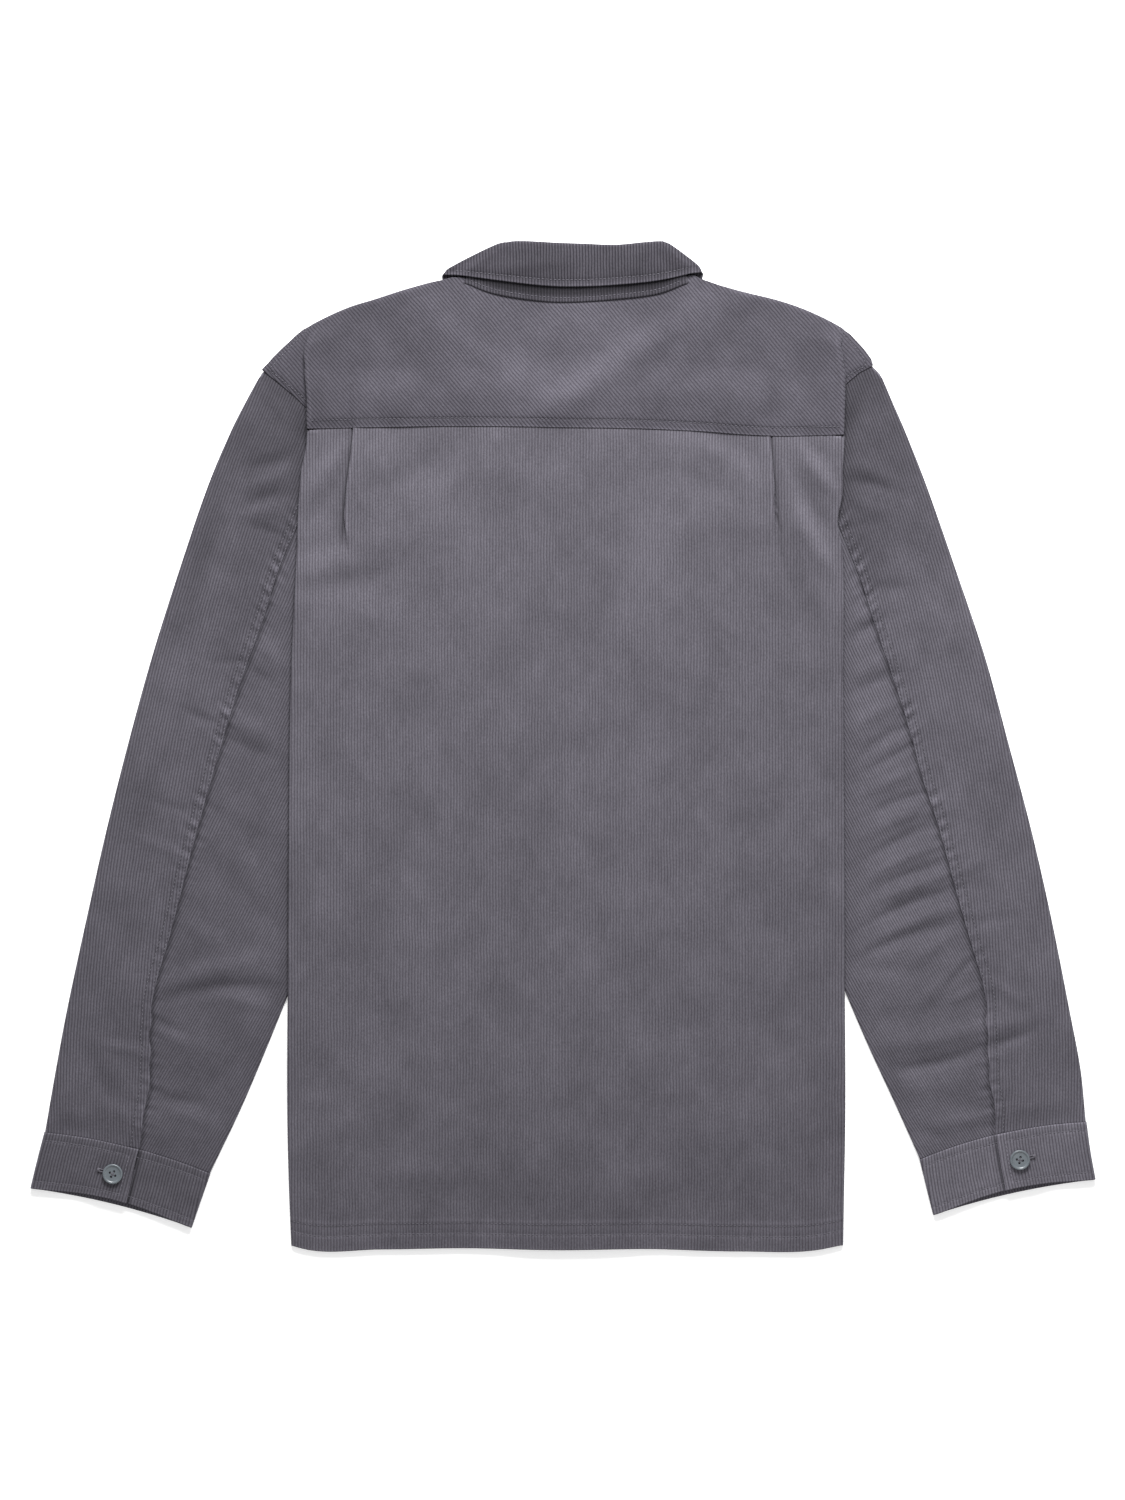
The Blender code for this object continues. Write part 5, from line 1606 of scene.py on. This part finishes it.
def button_mesh():
    """A turned four-hole button with its back at zero: a profile spun round and pierced."""
    shape = bmesh.new()
    corners = [shape.verts.new((radius * METRE, 0.0, height * METRE))
               for radius, height in BUTTON_PROFILE]
    edges = [shape.edges.new(pair) for pair in zip(corners, corners[1:])]
    bmesh.ops.spin(shape, geom=corners + edges, axis=(0.0, 0.0, 1.0), cent=(0.0, 0.0, 0.0),
                   angle=2.0 * math.pi, steps=BUTTON_SIDES, use_merge=True)
    bmesh.ops.remove_doubles(shape, verts=shape.verts, dist=0.00001)
    bmesh.ops.recalc_face_normals(shape, faces=shape.faces)
    mesh = bpy.data.meshes.new("button_blank")
    shape.to_mesh(mesh)
    shape.free()
    cutters = bmesh.new()
    for across in (-HOLE_SPACING, HOLE_SPACING):
        for along in (-HOLE_SPACING, HOLE_SPACING):
            bmesh.ops.create_cone(
                cutters, cap_ends=True, segments=HOLE_SIDES, radius1=HOLE_RADIUS * METRE,
                radius2=HOLE_RADIUS * METRE, depth=4.0 * BUTTON_THICK * METRE,
                matrix=Matrix.Translation((across * METRE, along * METRE, 0.0)))
    holes = bpy.data.meshes.new("button_holes")
    cutters.to_mesh(holes)
    cutters.free()
    blank = in_scene("button_blank", mesh)
    cutter = in_scene("button_holes", holes)
    cut = blank.modifiers.new("Thread holes", "BOOLEAN")
    cut.solver = "EXACT"
    cut.object = cutter
    ready = blank.evaluated_get(bpy.context.evaluated_depsgraph_get())
    made = bpy.data.meshes.new_from_object(ready)
    for item in (blank, cutter):
        bpy.data.objects.remove(item)
    return made


def button(name, node, blank, place, turn, face_up, material):
    """One button, turned and set in its place."""
    mesh = blank.copy()
    mesh.name = name
    flip = Matrix.Identity(4) if face_up else Matrix.Rotation(math.pi, 4, "X")
    x, y, z = place
    spot = Matrix.Translation((x * METRE, (y - ORIGIN_Y) * METRE, z * METRE))
    mesh.transform(spot @ flip @ Matrix.Rotation(math.radians(turn), 4, "Z"))
    mesh.materials.clear()
    mesh.materials.append(material)
    mesh.polygons.foreach_set("use_smooth", np.ones(len(mesh.polygons), bool))
    mesh.set_sharp_from_angle(angle=math.radians(SHARP_ANGLE))
    item = in_scene(name, mesh)
    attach(item, "root")
    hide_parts(node)
    return item


def light(name, place, size, power, aim):
    """A soft square lamp that looks at a point."""
    lamp = bpy.data.lights.new(name, "AREA")
    lamp.shape = "SQUARE"
    lamp.size = size
    lamp.energy = power
    item = in_scene(name, lamp)
    item.location = place
    way = Vector(aim) - Vector(place)
    item.rotation_euler = way.to_track_quat("-Z", "Y").to_euler()


def studio():
    """The floor, the lamps and the camera, which looks straight down."""
    floor = bpy.data.meshes.new("floor")
    corners = [(-1.0, -1.0), (1.0, -1.0), (1.0, 1.0), (-1.0, 1.0)]
    floor.from_pydata([(x * FLOOR_REACH, y * FLOOR_REACH, -FLOOR_DEPTH) for x, y in corners],
                      [], [(0, 1, 2, 3)])
    # The paper glows a little, as if lit from behind too, so that the shadows on it stay faint
    paper, _, _ = plain_shader("seamless_paper", {
        "Roughness": 0.9, "Base Color": linear("f6f6f6"),
        "Emission Color": linear("ffffff"), "Emission Strength": 0.35,
    })
    floor.materials.append(paper)
    in_scene("floor", floor)
    middle = (0.0, 0.0, 0.0)
    light("key_light", place=(0.1, 1.8, 1.2), size=1.0, power=105.0, aim=middle)
    light("fill_light", place=(0.9, -1.6, 2.4), size=2.2, power=16.0, aim=middle)
    world = bpy.data.worlds.new("studio")
    world.use_nodes = True
    background = world.node_tree.nodes["Background"]
    background.inputs["Color"].default_value = (1.0, 1.0, 1.0, 1.0)
    background.inputs["Strength"].default_value = 0.45
    bpy.context.scene.world = world
    lens = bpy.data.cameras.new("camera")
    lens.lens = 108.0
    lens.sensor_width = 36.0
    camera = in_scene("camera", lens)
    camera.location = (-0.0004, -0.0041, 3.6)
    bpy.context.scene.camera = camera
    bpy.context.scene.view_settings.view_transform = "Standard"


studio()

# Finishes: the colour of each cut's ribs, then that of its grooves
body_cord = corduroy("corduroy_back", "58565d", "3e3a41")
yoke_cord = corduroy("corduroy_yoke_slant", "514f56", "38343c")
collar_cord = corduroy("corduroy_collar_cut", "454349", "19161c")
sleeve_cord = corduroy("corduroy_sleeve_cut", "56545b", "37333a")
cuff_cord = corduroy("corduroy_cuff_cut", "5a585f", "38343b")
front_cord = corduroy("corduroy_front_cut", "56545b", "37333a")
thread = sewing_thread()
resin = button_resin()

# Cloth
back = back_piece()
back_cloth = cloth("back_cloth", "back_panel", back, body_cord)
yoke = yoke_piece()
yoke_cloth = cloth("yoke_cloth", "back_yoke", yoke, yoke_cord)

fall_part = spaced(0.0, 1.0, FALL_COLUMNS, (0.0, 0.05, 3.0), (1.0, 0.2, 1.0))
# The fall's edge droops towards both its tips
station = np.arange(float(COLLAR_BACK))
left_tip = 1.0 - smooth(0.0, 9.0, station)
right_tip = 1.0 - smooth(0.0, 4.0, station[::-1])
fall_edge = FALL_HEIGHT - FALL_DROOP - LEFT_TIP_DROOP * left_tip - RIGHT_TIP_DROOP * right_tip
fall = collar_piece(FALL_LEFT, FALL_BACK, FALL_RIGHT,
                    (FLOOR, FALL_HEIGHT, fall_edge), fall_part, fall_shape)
fall_cloth = cloth("fall_cloth", "collar_fall", fall, collar_cord)
stand_part = spaced(0.0, 1.03, STAND_COLUMNS, (1.0, 0.15, 1.0))
stand = collar_piece(STAND_LEFT, STAND_BACK, STAND_RIGHT,
                     (FLOOR + STEP, STAND_HEIGHT, FLOOR + 2.0 * STEP), stand_part, stand_shape)
stand_cloth = cloth("stand_cloth", "collar_stand", stand, collar_cord)
band = band_piece()
band_cloth = cloth("band_cloth", "front_band", band, front_cord)

blank = button_mesh()
cuts = (
    ("front", front_piece, front_cord, CLOTH),
    ("sleeve", sleeve_piece, sleeve_cord, CLOTH),
    ("cuff", cuff_piece, cuff_cord, CUFF_CLOTH),
)
grids = {}
for side in SIDES:
    for kind, shape, cord, wall in cuts:
        node = kind + "_" + side
        grids[node] = shape(side)
        cloth(node + "_cloth", node, grids[node], cord, wall)

# Sewing and buttons
on_top = back["level"] == 1.0
back_sewing = stitches("back_sewing", [
    sewn_line(back, "hem", place, on_top, down=False) for place in HEM_STITCHES
], thread)
outer = (yoke["settle"] == 0.0) & (yoke["rise"] < 0.2) & (yoke["points"][..., 1] > 270.0)
left_half = yoke["points"][..., 0] < 0.0
yoke_sewing = stitches("yoke_sewing", [
    sewn_line(yoke, "seam", YOKE_STITCHES, yoke["settle"] > 0.0, down=False),
    sewn_line(yoke, "hole", ARMHOLE_STITCHES, outer & left_half),
    sewn_line(yoke, "hole", ARMHOLE_STITCHES, outer & ~left_half),
], thread)
fall_sewing = stitches("fall_sewing", [
    sewn_line(fall, "edge", COLLAR_STITCHES, fall["back"] > 0.99),
], thread)
stand_sewing = stitches("stand_sewing", [
    sewn_line(stand, "edge", STAND_STITCHES, stand["back"] > 0.99),
], thread)
band_sewing = stitches("band_sewing", [
    sewn_line(band, "middle", place, face=-1.0, lift=UNDERSIDE_LIFT)
    for place in (BAND_STITCHES - BAND_HALF, BAND_HALF - BAND_STITCHES)
], thread)
front_buttons = [
    button(f"front_button_{number + 1}_resin", f"front_button_{number + 1}", blank,
           (FRONT_LINE, TOP_FRONT_BUTTON - FRONT_BUTTON_STEP * number, BUTTON_THICK),
           0.0, False, resin)
    for number in range(FRONT_BUTTONS)
]
for number, side in enumerate(SIDES):
    made = grids["front_" + side]
    sewing = stitches("front_" + side + "_sewing", [
        sewn_line(made, "hem", place, down=False, face=-1.0, lift=UNDERSIDE_LIFT)
        for place in HEM_STITCHES
    ], thread)
    made = grids["sleeve_" + side]
    shown = (made["upper"] > 0.0) & (made["free"] > -4.0)
    felled = shown & (made["opening"] < 0.5)
    sewing = stitches("sleeve_" + side + "_sewing", [
        sewn_line(made, "away", FELLED_STITCHES[0], felled),
        sewn_line(made, "away", FELLED_STITCHES[1], shown),
    ], thread)
    made = grids["cuff_" + side]
    half = CUFF_CLOTH / 2 + STITCH_LIFT
    top_side = (made["level"] == 1.0) & (made["end"] > CUFF_STITCHES - 1.0)
    lapping = made["upper"] > 0.0
    depth = made["depth"].max()
    inside = (made["depth"] > CUFF_STITCHES) & (made["depth"] < depth - CUFF_STITCHES)
    lines = [
        sewn_line(made, "depth", place, top_side & part, down=False, lift=half)
        for place in (CUFF_STITCHES, depth - CUFF_STITCHES) for part in (lapping, ~lapping)
    ]
    lines.append(sewn_line(made, "end", CUFF_STITCHES, lapping & inside, lift=half))
    sewing = stitches("cuff_" + side + "_sewing", lines, thread)
    x = CUFF_BUTTONS["x"][number]
    y = CUFF_BUTTONS["y"][number]
    top = 2.0 * CUFF_LAYER + CUFF_CLOTH
    hole = stitches("cuff_" + side + "_buttonhole", [
        buttonhole(x, y, top + BUTTONHOLE_LIFT, CUFF_BUTTONS["slot_turn"][number]),
    ], thread, BUTTONHOLE_THREAD)
    disc = button("cuff_button_" + side + "_resin", "cuff_button_" + side, blank,
                  (x, y, top + BUTTON_GAP), CUFF_BUTTONS["turn"][number], True, resin)
    crossed = stitches("cuff_button_" + side + "_thread", [
        crossed_thread(x, y, top + BUTTON_GAP + THREAD_HEIGHT, CUFF_BUTTONS["turn"][number]),
    ], thread, BUTTON_THREAD)
